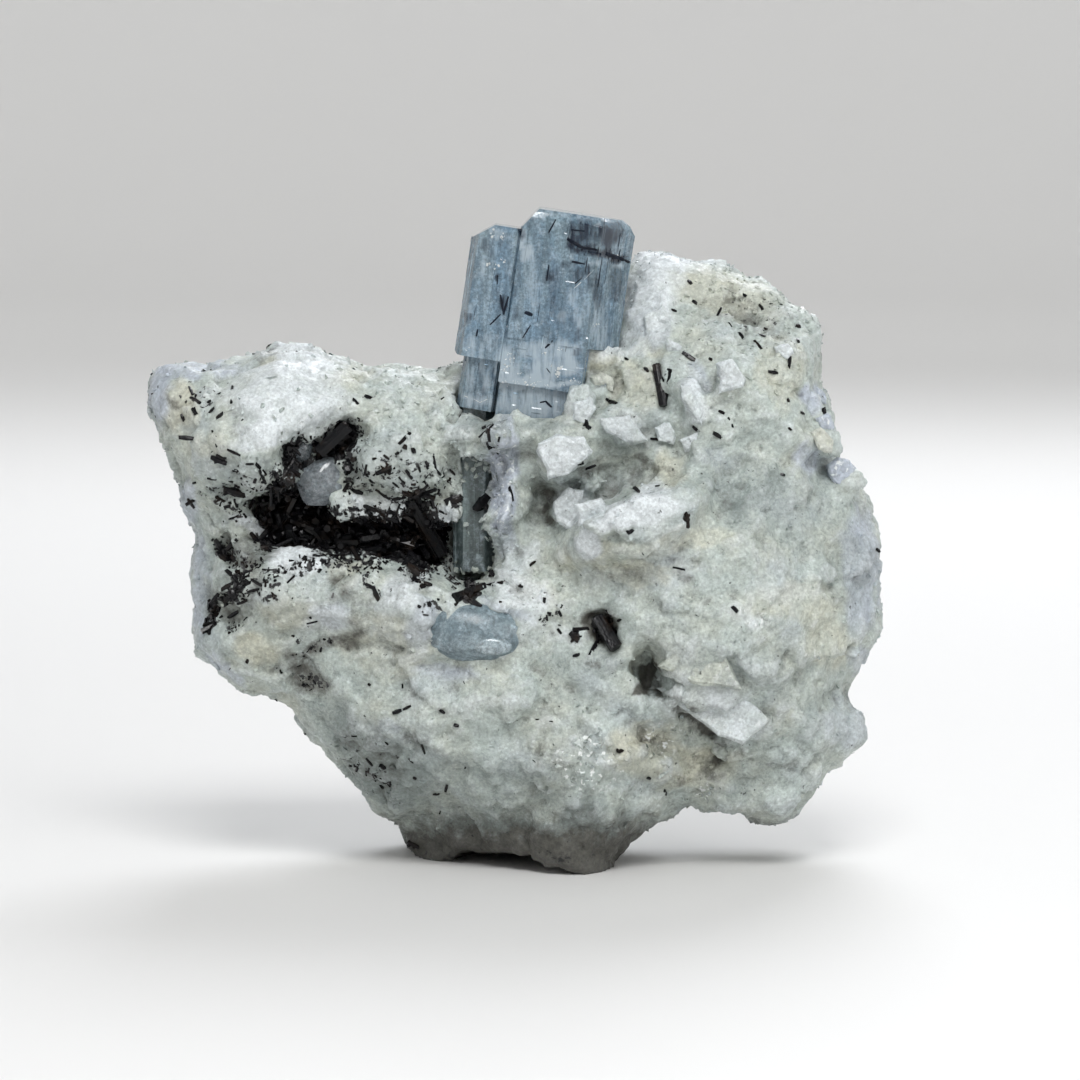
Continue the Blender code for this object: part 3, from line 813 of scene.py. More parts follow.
class Finishes:
    """Every material of the specimen, made once."""

    def __init__(self) -> None:
        """Builds the materials."""
        self.albite = AlbiteFinish().material("albite stone")
        self.schorl = SchorlFinish().material("black schorl")
        self.aquamarine = ClearFinish(
            skin=(0.185, 0.285, 0.375), cloud=(0.285, 0.375, 0.43), depth_colour=(0.20, 0.46, 0.64),
            density=70.0, transmission=0.42, ior=1.577,
        ).material("aquamarine")
        self.teal = ClearFinish(
            skin=(0.060, 0.084, 0.084), cloud=(0.10, 0.13, 0.13), depth_colour=(0.20, 0.45, 0.50),
            density=160.0, transmission=0.25, ior=1.577, roughness=(0.32, 0.55),
        ).material("teal beryl")
        self.bud = ClearFinish(
            skin=(0.165, 0.225, 0.255), cloud=(0.27, 0.34, 0.37), depth_colour=(0.25, 0.48, 0.56),
            density=110.0, transmission=0.22, ior=1.577, roughness=(0.26, 0.50), **EVEN,
        ).material("pale teal beryl")
        self.quartz = ClearFinish(
            skin=(0.26, 0.29, 0.31), cloud=(0.46, 0.50, 0.54), depth_colour=(0.50, 0.55, 0.60),
            density=200.0, transmission=0.5, ior=1.544, **EVEN,
        ).material("grey quartz")
        self.glassy = ClearFinish(
            skin=(0.42, 0.47, 0.44), cloud=(0.55, 0.59, 0.56), depth_colour=(0.60, 0.66, 0.62),
            density=100.0, transmission=0.35, ior=1.53, roughness=(0.03, 0.10), **EVEN,
        ).material("glassy albite")
        self.smoky = ClearFinish(
            skin=(0.14, 0.16, 0.175), cloud=(0.36, 0.40, 0.43), depth_colour=(0.3, 0.33, 0.35),
            density=300.0, transmission=0.6, ior=1.544, **EVEN,
        ).material("smoky quartz")
        self.lens = ClearFinish(
            skin=(0.40, 0.49, 0.53), cloud=(0.50, 0.58, 0.61), depth_colour=(0.30, 0.52, 0.60),
            density=50.0, transmission=0.40, ior=1.577, **EVEN,
        ).material("pale beryl lens")
        self.veil = VeilFinish((0.34, 0.44, 0.50), (0.46, 0.54, 0.58), 0.2).material("milky veil")
        self.crumb = VeilFinish((0.50, 0.52, 0.52), (0.62, 0.65, 0.66), 0.3).material("white crumb")
        self.shade = VeilFinish((0.005, 0.007, 0.013), (0.012, 0.018, 0.030), 0.12).material("dark inclusion")


# ---------------------------------------------------------------- stone: where its looks change

@dataclass(frozen=True)
class Oval:
    """An oval on the front: its middle, its half sizes and its turn in degrees."""

    u: float
    v: float
    half_width: float
    half_height: float
    turn: float

    def reach(self, u: np.ndarray, v: np.ndarray) -> np.ndarray:
        """How far out each place of the front view lies, 1 on the oval's rim.

        Args:
            u: Across, for each place.
            v: Up, for each place.

        Returns:
            One number for each place.
        """
        turn = math.radians(self.turn)
        across = (u - self.u) * math.cos(turn) + (v - self.v) * math.sin(turn)
        upward = (v - self.v) * math.cos(turn) - (u - self.u) * math.sin(turn)
        return np.hypot(across / self.half_width, upward / self.half_height)


# Between these shares of its half sizes a patch fades out.
PATCH_EDGE = (0.6, 1.3)


@dataclass(frozen=True)
class Patch(Oval):
    """An oval on the front where one tone is stronger."""

    amount: float

    def strength(self, u: np.ndarray, v: np.ndarray) -> np.ndarray:
        """How strong the patch is at each place of the front view."""
        return self.amount * (1.0 - smooth_step(*PATCH_EDGE, self.reach(u, v)))


def patches(*rows: tuple[float, ...]) -> tuple[Patch, ...]:
    """Patches from their rows: u, v, half width, half height, turn and amount."""
    return tuple(Patch(*row) for row in rows)


BUD_PLACE = Patch(-4.0, 20.6, 4.2, 2.6, 0, 1.3)
WHITE_PATCHES = patches(
    (-20.5, 41.8, 5.6, 3.6, -8, 0.75), (-23.6, 38.4, 2.4, 1.4, 10, 0.8), (-19.4, 45.6, 3.6, 1.3, -10, 0.6),
    (-8.6, 42.0, 4.6, 2.4, 0, 0.1), (-6.6, 38.6, 3.2, 2.0, 0, 0.1), (-12.2, 32.0, 3.2, 1.6, 0, 0.75),
    (-6.9, 31.4, 1.4, 1.2, 0, 0.9), (-23.8, 30.6, 2.6, 0.8, -20, 0.9), (-19.9, 27.2, 2.6, 1.5, 0, 0.9),
    (-10.6, 24.8, 2.0, 1.6, 0, 0.7), (-17.2, 22.0, 2.2, 1.4, 0, 0.5), (0.6, 24.4, 3.2, 1.8, -14, 0.7),
    (10.6, 31.6, 4.6, 1.3, 8, 1.0), (5.0, 32.0, 1.6, 1.6, 0, 0.9), (6.4, 28.6, 1.2, 1.3, 30, 1.0),
    (12.6, 33.4, 2.0, 0.8, 10, 0.7), (12.2, 51.0, 2.8, 3.6, 0, 0.8), (13.0, 54.2, 3.4, 0.8, -8, 0.7),
    (9.6, 46.8, 2.6, 1.4, 0, 0.6), (16.2, 42.0, 1.0, 3.0, 12, 0.6), (10.0, 39.4, 2.6, 1.0, -20, 0.5),
    (24.2, 24.4, 4.4, 1.2, -4, 0.2), (16.0, 14.6, 4.6, 2.2, -24, 0.3), (21.4, 21.8, 1.6, 1.2, -30, 0.4),
    (29.4, 12.2, 2.0, 1.8, 0, 0.1), (19.8, 13.2, 3.4, 1.6, -30, 0.45), (3.0, 21.0, 3.0, 0.8, -25, 0.4),
    (0.0, 27.6, 2.4, 1.4, 20, 0.4), (-14.0, 12.4, 2.2, 0.9, -40, 0.3), (-2.4, 14.2, 4.4, 0.9, 6, 0.3),
)

GREY_PATCHES = patches(
    (-3.7, 39.8, 1.5, 1.3, 0, 0.9), (-1.4, 39.0, 0.9, 2.0, 0, 0.9), (8.4, 34.4, 3.4, 2.2, 18, 0.5),
    (1.8, 34.6, 1.5, 3.6, 0, 0.35), (9.6, 37.4, 3.0, 0.9, 12, 0.75), (3.0, 39.6, 2.6, 0.7, 0, 0.8),
    # The three patches on this line paint shade on the lower belly and along the base.
    (-4.4, 6.2, 11.0, 3.6, 0, 0.55), (-12.8, 9.0, 5.4, 3.2, -42, 0.70), (0.0, 1.2, 11.0, 2.6, 0, 1.1),
    (7.2, 3.4, 4.4, 1.8, 14, 0.6), (28.6, 13.0, 3.2, 3.0, 0, 0.45), (20.8, 34.4, 4.6, 2.6, 0, 0.55),
    (24.6, 31.6, 5.4, 4.0, 0, 0.40), (19.4, 31.6, 1.2, 1.2, 0, 0.55), (30.0, 26.6, 2.6, 4.0, 0, 0.45),
    (16.6, 37.6, 2.0, 1.4, 0, 0.4), (20.4, 50.0, 5.4, 2.4, -18, 0.15), (17.8, 17.6, 3.4, 2.0, 0, 0.40),
    (5.4, 17.4, 5.0, 3.0, 20, 0.30), (14.6, 22.0, 4.0, 1.6, -20, 0.30), (24.6, 16.8, 2.6, 3.2, 0, 0.35),
    (13.0, 8.6, 3.4, 2.2, 0, 0.45), (20.0, 7.4, 4.0, 1.6, 6, 0.45), (-18.4, 34.2, 2.2, 2.2, 0, 0.95),
    (-21.8, 36.2, 2.2, 1.0, 0, 0.55), (-25.6, 33.2, 3.6, 3.0, 0, 0.35), (-27.9, 25.6, 1.4, 3.6, 0, 0.45),
    (-23.4, 28.0, 3.0, 1.2, 0, 0.8), (-25.6, 22.2, 2.4, 2.0, 0, 0.3), (-12.0, 35.8, 4.6, 3.0, 0, 0.35),
    (-8.6, 25.6, 2.2, 1.2, 0, 0.5), (-11.2, 22.8, 1.4, 0.8, 0, 0.4), (-16.2, 12.6, 3.2, 1.8, -42, 0.45),
    (8.4, 19.0, 1.8, 2.0, 0, 0.4),
)

LILAC_PATCHES = patches(
    (-32.4, 42.6, 1.2, 3.4, -4, 0.9), (-29.0, 44.7, 4.4, 0.7, 0, 0.8), (-20.0, 46.4, 3.0, 0.8, 0, 0.5),
    (31.4, 26.4, 1.8, 6.0, 0, 0.8), (30.2, 12.6, 2.4, 2.6, 0, 0.55), (26.4, 36.6, 1.4, 1.6, 0, 0.8),
    (-1.2, 36.2, 1.5, 5.6, 0, 1.2), (-1.0, 30.0, 1.0, 3.0, 0, 0.6), (-8.6, 21.6, 1.4, 2.8, 0, 0.6),
    (-6.0, 17.2, 3.4, 0.9, -8, 0.6), (-28.8, 25.0, 1.0, 5.0, 0, 0.8), (-30.0, 32.0, 1.2, 2.6, 0, 0.8),
    (13.0, 54.8, 4.0, 0.6, -6, 0.6), (-26.4, 17.4, 2.6, 0.6, -38, 0.7), (16.6, 43.6, 0.9, 2.0, 0, 0.6),
    (12.6, 48.6, 1.6, 2.2, 0, 0.5), (-17.0, 22.4, 2.4, 1.2, 0, 0.6), (-0.6, 22.6, 2.6, 0.7, -22, 0.7),
    (26.9, 42.2, 0.9, 1.2, 0, 0.9), (18.6, 36.4, 2.0, 1.0, 0, 0.4), (-11.6, 12.2, 1.4, 1.0, 0, 0.5),
    (31.4, 18.0, 1.0, 1.6, 0, 0.6),
)

CREAM_PATCHES = patches(
    (-30.4, 41.4, 1.6, 2.6, 0, 0.8), (-28.6, 37.8, 2.0, 1.4, 0, 0.5), (-22.2, 45.6, 1.6, 0.6, 20, 0.8),
    (-15.0, 44.0, 2.2, 1.2, 0, 0.6), (-23.8, 19.0, 2.2, 1.4, -10, 0.8), (-11.6, 19.6, 5.0, 3.2, 0, 0.45),
    (-15.6, 26.0, 1.6, 2.0, 0, 0.5), (-20.8, 22.4, 3.0, 1.4, 0, 0.5), (1.6, 24.6, 2.6, 1.4, -20, 0.6),
    (7.6, 45.4, 1.4, 1.2, 0, 0.9), (10.8, 43.0, 2.6, 2.4, 0, 0.6), (12.2, 46.6, 1.8, 0.7, -20, 0.6),
    (18.4, 51.6, 6.0, 2.2, -16, 0.6), (24.0, 44.4, 2.4, 3.6, 0, 0.5), (25.6, 23.6, 5.0, 2.0, 0, 0.5),
    (28.6, 19.6, 2.4, 2.4, 0, 0.5), (12.4, 9.6, 4.0, 2.6, -20, 0.9), (17.4, 8.4, 3.4, 2.0, 0, 0.8),
    (8.0, 27.6, 5.0, 1.4, 6, 0.5), (11.6, 26.0, 3.0, 1.0, 0, 0.5), (16.6, 29.2, 3.4, 1.0, 6, 0.5),
    (13.8, 35.6, 1.4, 1.6, 0, 0.6),
)

BROWN_PATCHES = patches(
    (-16.2, 25.6, 1.4, 2.8, 6, 0.5), (-14.4, 21.2, 1.0, 1.6, 0, 0.55), (-17.4, 19.4, 3.2, 0.9, 16, 0.95),
    (-18.8, 16.4, 2.0, 1.5, 0, 1.05), (-20.6, 18.0, 1.2, 1.2, 0, 0.5), (-24.0, 28.2, 2.6, 1.2, 0, 0.75),
    (-25.2, 24.4, 2.6, 3.2, 0, 0.50), (-31.0, 41.8, 0.5, 0.5, 0, 0.9), (-22.6, 46.2, 1.2, 0.4, 20, 0.6),
    (-6.4, 44.7, 1.2, 0.6, 0, 0.6), (-14.6, 23.6, 1.6, 0.8, -30, 0.5), (-12.8, 9.4, 4.0, 2.2, -40, 0.45),
    (-9.0, 11.2, 1.2, 0.5, 0, 0.6), (-6.8, 13.4, 0.7, 0.5, 0, 0.5), (3.2, 9.2, 1.8, 1.2, 0, 0.4),
    (12.1, 17.2, 0.7, 1.9, -12, 1.6), (11.5, 15.6, 0.6, 0.6, 0, 1.5), (13.2, 15.2, 1.2, 0.3, -26, 0.9),
    (16.0, 12.8, 2.6, 0.8, -42, 0.85), (18.8, 10.9, 1.4, 0.4, -24, 0.9), (20.4, 9.6, 0.4, 0.8, 10, 0.7),
    (18.0, 9.1, 0.6, 0.5, -20, 1.2), (16.4, 7.6, 2.6, 0.6, 10, 0.6), (11.6, 10.6, 0.9, 0.6, 0, 0.7),
    (24.6, 8.6, 2.6, 0.4, 8, 0.5), (2.5, 33.6, 0.9, 1.7, 25, 0.35), (3.0, 31.4, 0.4, 1.2, 12, 0.9),
    (7.0, 35.8, 3.0, 0.8, 20, 0.45), (12.4, 35.8, 2.0, 0.4, -24, 0.7), (8.2, 43.0, 0.9, 0.4, -20, 0.6),
    (7.6, 21.0, 1.7, 1.7, 0, 1.3), (15.2, 26.2, 0.9, 0.3, 20, 0.6), (15.5, 25.4, 0.4, 0.4, 0, 0.8),
    (17.4, 23.6, 0.4, 0.4, 0, 0.6), (20.8, 49.8, 4.6, 2.2, -20, 0.34), (6.6, 17.9, 0.7, 0.3, 20, 0.8),
)

SOOT_PATCHES = patches(
    (-18.8, 29.5, 4.6, 0.9, -2, 2.4), (-10.6, 28.7, 4.9, 1.5, -14, 2.4), (-19.3, 31.4, 1.9, 1.9, 0, 2.4),
    (-9.3, 31.8, 0.5, 1.6, 8, 1.8), (-16.5, 37.7, 2.3, 0.8, 50, 2.2), (-15.1, 35.4, 0.5, 2.4, 0, 1.7),
    (-20.4, 36.6, 0.6, 1.6, 0, 1.9), (-19.4, 35.9, 1.2, 0.5, 0, 1.9), (-20.4, 33.6, 0.8, 0.9, 0, 1.2),
    (-26.4, 28.1, 0.7, 1.5, 20, 1.7), (-25.2, 25.0, 0.9, 1.9, -12, 1.4), (-27.6, 22.2, 0.6, 1.6, -25, 1.4),
    (-26.8, 23.6, 1.4, 0.4, 20, 1.2), (-25.6, 21.0, 0.9, 0.6, 30, 1.2), (-22.6, 25.0, 1.6, 1.6, 0, 0.9),
    (-24.2, 27.4, 1.6, 1.0, 0, 0.8), (-22.2, 29.0, 1.2, 0.6, 0, 1.6), (-9.0, 26.2, 1.6, 1.0, -10, 1.3),
    (-6.0, 25.4, 0.5, 1.2, 20, 1.3), (-4.2, 24.2, 0.8, 1.1, 0, 1.9), (-13.0, 24.5, 1.2, 0.4, -40, 1.4),
    (-13.8, 25.6, 0.6, 0.5, 0, 1.0), (-17.0, 28.4, 2.4, 0.6, 0, 1.4), (8.2, 21.1, 0.9, 1.1, 0, 1.9),
    (7.1, 20.4, 0.3, 1.8, -18, 1.5), (5.4, 20.2, 0.4, 0.6, 0, 1.4), (-10.4, 34.4, 5.0, 3.6, 0, 0.62),
    (-24.6, 33.0, 4.6, 2.6, 0, 0.60), (-21.4, 34.4, 1.6, 1.6, 0, 0.8), (-28.8, 41.6, 2.0, 2.2, 0, 0.50),
    (-18.6, 16.3, 1.5, 1.1, 0, 1.15), (-18.0, 19.3, 2.6, 0.5, 20, 1.05), (-20.0, 20.0, 0.6, 0.3, 20, 1.0),
    (-13.0, 9.4, 3.6, 2.0, -40, 0.36), (22.0, 49.6, 4.0, 2.0, -20, 0.38), (-8.0, 23.0, 1.4, 0.6, 10, 0.9),
    (3.0, 22.6, 1.6, 1.6, 0, 0.55), (-2.6, 38.2, 0.3, 1.4, 14, 1.6), (-5.3, 32.4, 0.6, 0.5, 0, 1.8),
    # On this line the band at v 0.3 along the base adds black specks as painted shade.
    (-12.4, 6.8, 3.6, 1.6, -30, 0.3), (0.0, 0.3, 11.0, 0.6, 0, 0.7), (-13.6, 30.8, 7.6, 1.4, -3, 1.25),
    (-14.0, 27.4, 7.6, 1.1, 8, 1.15), (-8.2, 30.4, 1.9, 3.6, 10, 1.2), (-19.6, 32.8, 2.9, 2.2, 0, 1.2),
    (-19.7, 37.2, 1.9, 1.8, 0, 1.3), (-15.9, 38.2, 1.9, 2.6, -40, 1.2),
)

# Shiny places: glossier stone, glassy flakes and painted glints.
SHINE_PATCHES = patches(
    (6.4, 8.6, 3.4, 2.6, 0, 1.0), (13.4, 11.4, 1.8, 1.6, 20, 1.0), (17.6, 6.2, 1.0, 0.8, 0, 1.0),
    (14.0, 8.0, 1.2, 0.4, 20, 0.9), (7.0, 10.8, 1.8, 0.6, 0, 0.9), (-20.4, 41.4, 5.0, 3.6, 0, 0.4),
    (-1.2, 35.0, 1.4, 6.0, 0, 0.7), (21.6, 22.0, 1.6, 1.2, -30, 0.8), (26.6, 18.6, 1.4, 0.6, 0, 0.6),
)

SUGAR_PATCHES = patches(
    (-3.6, 33.6, 2.8, 7.0, 0, 1.0), (-3.7, 27.6, 3.4, 3.6, 0, 1.0), (-10.0, 36.0, 6.0, 7.0, 0, 1.0),
    (-24.6, 34.0, 5.0, 3.4, 0, 0.9), (-18.0, 26.0, 8.0, 3.0, 0, 0.8), (0.6, 24.6, 4.4, 2.6, -10, 1.0),
    (20.6, 47.4, 7.4, 6.0, -20, 0.7), (11.0, 42.0, 4.0, 4.0, 0, 0.6), (6.4, 8.6, 4.0, 3.0, 0, 0.9),
    (15.4, 9.0, 4.6, 2.4, 0, 0.7), (22.0, 21.6, 3.0, 2.0, 0, 0.6), (12.0, 33.6, 3.4, 1.6, 0, 0.8),
)

PATCHES = {
    Tone.WHITE: WHITE_PATCHES, Tone.GREY: GREY_PATCHES, Tone.LILAC: LILAC_PATCHES,
    Tone.CREAM: CREAM_PATCHES, Tone.BROWN: BROWN_PATCHES, Tone.SOOT: SOOT_PATCHES,
    Tone.SHINE: SHINE_PATCHES,
}


@dataclass(frozen=True)
class Swell(Oval):
    """A fine rise, or with a negative rise a dip, of the stone's front."""

    rise: float
    steepness: float

    def height(self, u: np.ndarray, v: np.ndarray) -> np.ndarray:
        """How far the skin is moved out at each place of the front view."""
        beyond = self.steepness * (self.reach(u, v) - 1.0)
        return self.rise / (1.0 + np.exp(np.clip(beyond, -30.0, 30.0)))


SWELLS = tuple(Swell(*row) for row in (
    (15.2, 13.6, 3.0, 0.4, -42, -0.7, 5), (18.8, 10.8, 1.6, 0.35, -24, -0.7, 5),
    (18.0, 9.2, 0.6, 0.5, -20, -1.2, 5), (-19.5, 37.0, 1.7, 1.6, 0, -0.9, 6),
    (-15.1, 35.6, 0.6, 2.8, 0, -0.8, 6), (-23.4, 30.6, 3.2, 0.9, -18, 0.7, 7),
    (-26.6, 28.2, 0.7, 1.8, 20, -0.9, 6), (-1.2, 36.4, 1.2, 5.4, 0, 0.5, 7),
    (8.2, 21.0, 0.8, 1.2, 10, -0.8, 6), (19.8, 10.2, 2.4, 0.9, -14, 0.3, 8),
    (28.9, 12.2, 2.6, 2.4, 0, 0.5, 7), (1.4, 24.8, 4.0, 2.2, -16, 0.6, 7),
    (12.4, 50.0, 1.6, 3.0, 10, 0.5, 8), (-8.8, 42.2, 3.4, 2.0, 0, 0.5, 7),
    (-4.2, 13.4, 6.0, 1.6, 4, 0.35, 8), (24.4, 19.4, 3.0, 2.4, 30, 0.4, 8),
    (-3.6, 33.4, 2.4, 2.8, 0, -0.9, 5), (-3.7, 27.8, 2.7, 3.0, 0, -0.9, 5),
    (-16.5, 37.7, 2.4, 0.8, 50, -0.9, 6), (8.2, 34.4, 3.0, 1.8, 18, -0.7, 6),
    (2.4, 33.6, 0.9, 2.2, 25, -0.2, 6), (-25.6, 24.2, 2.2, 3.0, 0, -0.5, 7),
    (-20.2, 27.0, 2.6, 1.4, 0, 0.5, 7), (-14.0, 26.6, 1.8, 1.4, 0, 0.5, 7),
))


@dataclass(frozen=True)
class Block:
    """A part of the front that is built up or cut away: its outline and its reach in depth."""

    name: str
    outline: tuple[Pair, ...]
    front: float
    back: float

    def mesh(self, skin: Skin) -> Mesh:
        """The outline drawn back from in front of the skin to behind it.

        Args:
            skin: The stone's skin.

        Returns:
            A closed mesh.
        """
        seat, _ = skin.at(*np.mean(self.outline, axis=0))
        work = bmesh.new()
        ring = []
        for u, v in self.outline:
            ray = VIEW.ray(u, v)
            reach = (seat.y - self.front - VIEW.eye().y) / ray.y
            ring.append(work.verts.new(VIEW.eye() + ray * reach))
        drawn_back(work, ring, Vector((0.0, self.front + self.back, 0.0)))
        return mesh_of(work, self.name)


CUT_BLOCKS = (
    Block("hollow", (
        (-22.8, 29.4), (-21.6, 30.2), (-20.9, 31.6), (-20.6, 33.0), (-19.2, 33.3), (-18.3, 32.2),
        (-17.5, 32.6), (-16.9, 30.6), (-15.8, 30.0), (-14.6, 30.9), (-13.6, 29.9), (-12.0, 30.4),
        (-11.0, 29.6), (-10.0, 30.3), (-9.8, 32.6), (-8.6, 33.0), (-8.2, 31.2), (-7.4, 30.2), (-7.6, 29.2),
        (-6.2, 28.2), (-6.0, 27.0), (-7.4, 26.4), (-8.6, 27.2), (-9.8, 26.5), (-11.2, 27.6), (-12.2, 27.0),
        (-13.4, 28.2), (-15.2, 27.9), (-16.6, 28.8), (-18.0, 28.2), (-19.8, 28.9), (-21.2, 28.1),
        (-22.6, 28.8),
    ), 6.0, 1.4),
    Block("crack", (
        (11.2, 19.6), (11.6, 18.9), (12.9, 17.6), (12.2, 16.8), (12.4, 15.3), (11.9, 14.9), (11.2, 15.8),
        (11.6, 17.0), (11.8, 17.9),
    ), 4.0, 0.25),
    Block("upper window", ((-4.6, 35.6), (-3.4, 36.2), (-2.7, 35.6), (-2.6, 31.4), (-4.5, 31.2)), 8.0, 1.2),
    Block("lower window", (
        (-4.7, 31.8), (-2.6, 31.6), (-2.2, 30.3), (-1.9, 26.8), (-3.0, 25.2), (-5.2, 25.0), (-5.8, 27.6),
        (-5.4, 29.8),
    ), 8.0, 1.2),
    Block("below the prisms", ((-4.8, 42.3), (-2.0, 41.6), (-2.0, 39.7), (-4.0, 39.6)), 8.0, 1.2),
)
BUILT_BLOCKS = (
    Block("speckled bank", (
        (-16.6, 34.6), (-12, 35.2), (-9.9, 34.2), (-10.1, 32.0), (-10.8, 30.6), (-12.0, 31.0),
        (-13.4, 30.5), (-14.8, 31.1), (-16.0, 30.7), (-16.9, 32.0),
    ), 7.6, 4.0),
    Block("bank's right end", (
        (-10.3, 34.2), (-8.7, 34.6), (-7.0, 33.8), (-6.3, 32.4), (-6.5, 30.6), (-7.3, 30.0), (-8.0, 30.9),
        (-8.7, 31.9), (-9.6, 31.3), (-10.6, 32.2),
    ), 2.7, 3.0),
    Block("bank beside the stem", (
        (-6.4, 36.2), (-4.5, 36.0), (-4.25, 34.6), (-4.55, 33.0), (-4.35, 31.8), (-5.2, 31.0), (-6.4, 31.4),
    ), 0.5, 2.0),
    Block("stone under the prism", (
        (6.0, 46.7), (9.5, 46.4), (9.8, 44.6), (8.6, 43.2), (6.1, 43.0),
    ), 2.8, 2.0),
    Block("stone beside the foot", (
        (4.7, 43.0), (6.6, 43.4), (7.2, 41.6), (6.4, 39.8), (4.8, 39.6),
    ), 3.4, 2.0),
    Block("bridge over the stem", (
        (-5.2, 39.2), (-2.2, 39.4), (-2.3, 36.4), (-3.6, 36.6), (-5.2, 36.2),
    ), 0.6, 2.0),
    Block("ragged ledge", (
        (6.2, 30.4), (8.0, 31.4), (10.8, 33.0), (13.4, 33.1), (14.8, 32.0), (14.6, 30.8), (12.0, 30.3),
        (9.0, 29.7), (7.6, 29.2),
    ), 0.8, 2.0),
    Block("ledge's foot", ((5.6, 29.4), (6.8, 30.2), (7.5, 29.0), (7.4, 27.8), (5.5, 27.8)), 0.7, 2.0),
)


# ---------------------------------------------------------------- stone

# For each tone away from the front: how wide its clouds are, where they start and how soft they are.
BACK_TONES = {
    Tone.WHITE: (9.0, 0.10, 0.5), Tone.GREY: (11.0, 0.12, 0.4), Tone.LILAC: (8.0, 0.15, 0.5),
    Tone.CREAM: (10.0, 0.05, 0.5), Tone.BROWN: (12.0, 0.25, 0.45), Tone.SOOT: (7.0, 0.36, 0.5),
    Tone.SHINE: (6.0, 0.2, 0.4),
}


@dataclass
class Stone:
    """The albite stone: a fine skin over the CAD stone, with its breaks, grains, stained patches and painted
    shade.
    """

    finishes: Finishes
    voxel: float = 0.385
    smoothing: int = 5
    relax: float = 0.6
    restore: float = 0.52
    lump: Pair = (0.24, 3.4)
    facets: tuple[Triple, ...] = ((3.4, 0.30, 0.34), (1.5, 0.34, 0.14))
    crumb: Pair = (0.13, 0.80)
    calm: float = 0.75
    base_band: float = 0.4
    fill: Triple = (1.50, 1.0, 1.30)
    fill_back: float = 1.5
    crevice_rounds: int = 14
    crevice_gain: float = 1.7
    # Painted shade in crevices: how much brown they get.
    crevice_shade: float = 0.75
    # How much lighter ridges get.
    ridge_whitening: float = 0.5
    # Painted shade toward the foot: how much brown, and between which heights it fades.
    foot_shade: float = 1.9
    foot_shade_fade: Pair = (5.6, -0.4)
    facing: Pair = (0.0, 0.5)
    front: Pair = (-0.25, 0.25)
    front_depth: float = 4.0
    swell_sway: float = 0.8
    sway: Pair = (0.9, 0.55)
    drift_step: float = 37.0
    crevice_range: Pair = (-0.5, 1.0)
    clean_gain: float = 1.4
    left: Pair = (6.0, -6.0)
    back_sugar: float = 0.5
    off_base: Pair = (1.8, 4.0)
    needle_soot: Pair = (0.30, 1.0)
    jumble_soot: Pair = (1.1, 1.7)
    stray_share: Pair = (0.02, 0.90)
    sugar_share: Pair = (0.12, 0.88)

    def build(self) -> Object:
        """Makes the stone, its tones and its material.

        Returns:
            The finished piece.
        """
        mesh = remeshed(self.blocked(merged_copy("matrix")), self.voxel)
        points = read_points(mesh)
        edges = point_pairs(mesh)
        low, high = points.min(axis=0), points.max(axis=0)
        points = self.smoothed(points, edges)
        write_points(mesh, points)
        points = self.broken(mesh, points)
        points = np.clip(points, low, high)
        flat = read_points(mesh)[:, 2] < self.base_band
        points[flat, 2] = np.minimum(points[flat, 2], self.base_band)
        write_points(mesh, points)
        self.add_tones(mesh, points, edges)
        mesh.shade_smooth()
        mesh.materials.append(self.finishes.albite)
        piece = new_object("albite_stone", mesh)
        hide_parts("matrix")
        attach(piece, BODY)
        return piece

    def blocked(self, mesh: Mesh) -> Mesh:
        """Cuts the named blocks out of the stone and builds others on it.

        Args:
            mesh: The CAD stone.

        Returns:
            The new mesh.
        """
        skin = Skin(mesh)
        built = [block.mesh(skin) for block in BUILT_BLOCKS]
        built += [self.filler(node) for node in ("aquamarine_bud", "quartz_grain")]
        left = combined(mesh, [block.mesh(skin) for block in CUT_BLOCKS], "DIFFERENCE")
        return joined("stone with blocks", [left] + built)

    def filler(self, node: str) -> Mesh:
        """A wider body behind a crystal's front, which closes the gap round it.

        Args:
            node: The crystal's CAD node.

        Returns:
            A closed mesh.
        """
        mesh = merged_copy(node)
        points = read_points(mesh)
        middle = (points.min(axis=0) + points.max(axis=0)) / 2
        points = middle + (points - middle) * np.array(self.fill)
        points[:, 1] += self.fill_back
        write_points(mesh, points)
        return mesh

    def smoothed(self, points: np.ndarray, edges: np.ndarray) -> np.ndarray:
        """Takes the straight edges off without shrinking the stone.

        Args:
            points: The skin's points.
            edges: Its edges.

        Returns:
            The new points.
        """
        start = points.copy()
        for _ in range(self.smoothing):
            points = points + self.relax * (neighbour_mean(edges, points) - points)
            points = points - self.restore * (neighbour_mean(edges, points) - points) * self.relax
        on_base = start[:, 2] < self.base_band
        points[on_base] = start[on_base]
        return points

    def broken(self, mesh: Mesh, points: np.ndarray) -> np.ndarray:
        """Adds the named swells, soft lumps, broken facets and crumbs.

        Args:
            mesh: The smoothed skin.
            points: Its points.

        Returns:
            The new points.
        """
        normals = read_normals(mesh)
        u, v = VIEW.seen(points)
        facing = smooth_step(*self.facing, normals @ np.array(VIEW.axes()[2]))
        wobble = wander(points, self.swell_sway)
        rise = sum(swell.height(u + wobble[:, 0], v + wobble[:, 2]) for swell in SWELLS) * facing
        white = sum(patch.strength(u, v) for patch in WHITE_PATCHES[:1]) * facing
        rough = 1.0 - self.calm * np.clip(white, 0.0, 1.0)
        fine = np.zeros(len(points))
        for index, row in enumerate(points):
            place = Vector(row)
            fine[index] = self.lump[0] * noise.noise(place / self.lump[1])
            fine[index] += self.crumb[0] * noise.noise(place / self.crumb[1])
            for cell, tilt, step in self.facets:
                centre = noise.voronoi(place / cell)[1][0] * cell
                chance = noise.cell_vector(centre) - Vector((0.5, 0.5, 0.5))
                fine[index] += tilt * chance.dot(place - centre) + step * chance.y
        on_base = points[:, 2] < self.base_band
        total = np.where(on_base, 0.0, rise + fine * rough)
        return points + normals * total[:, None]

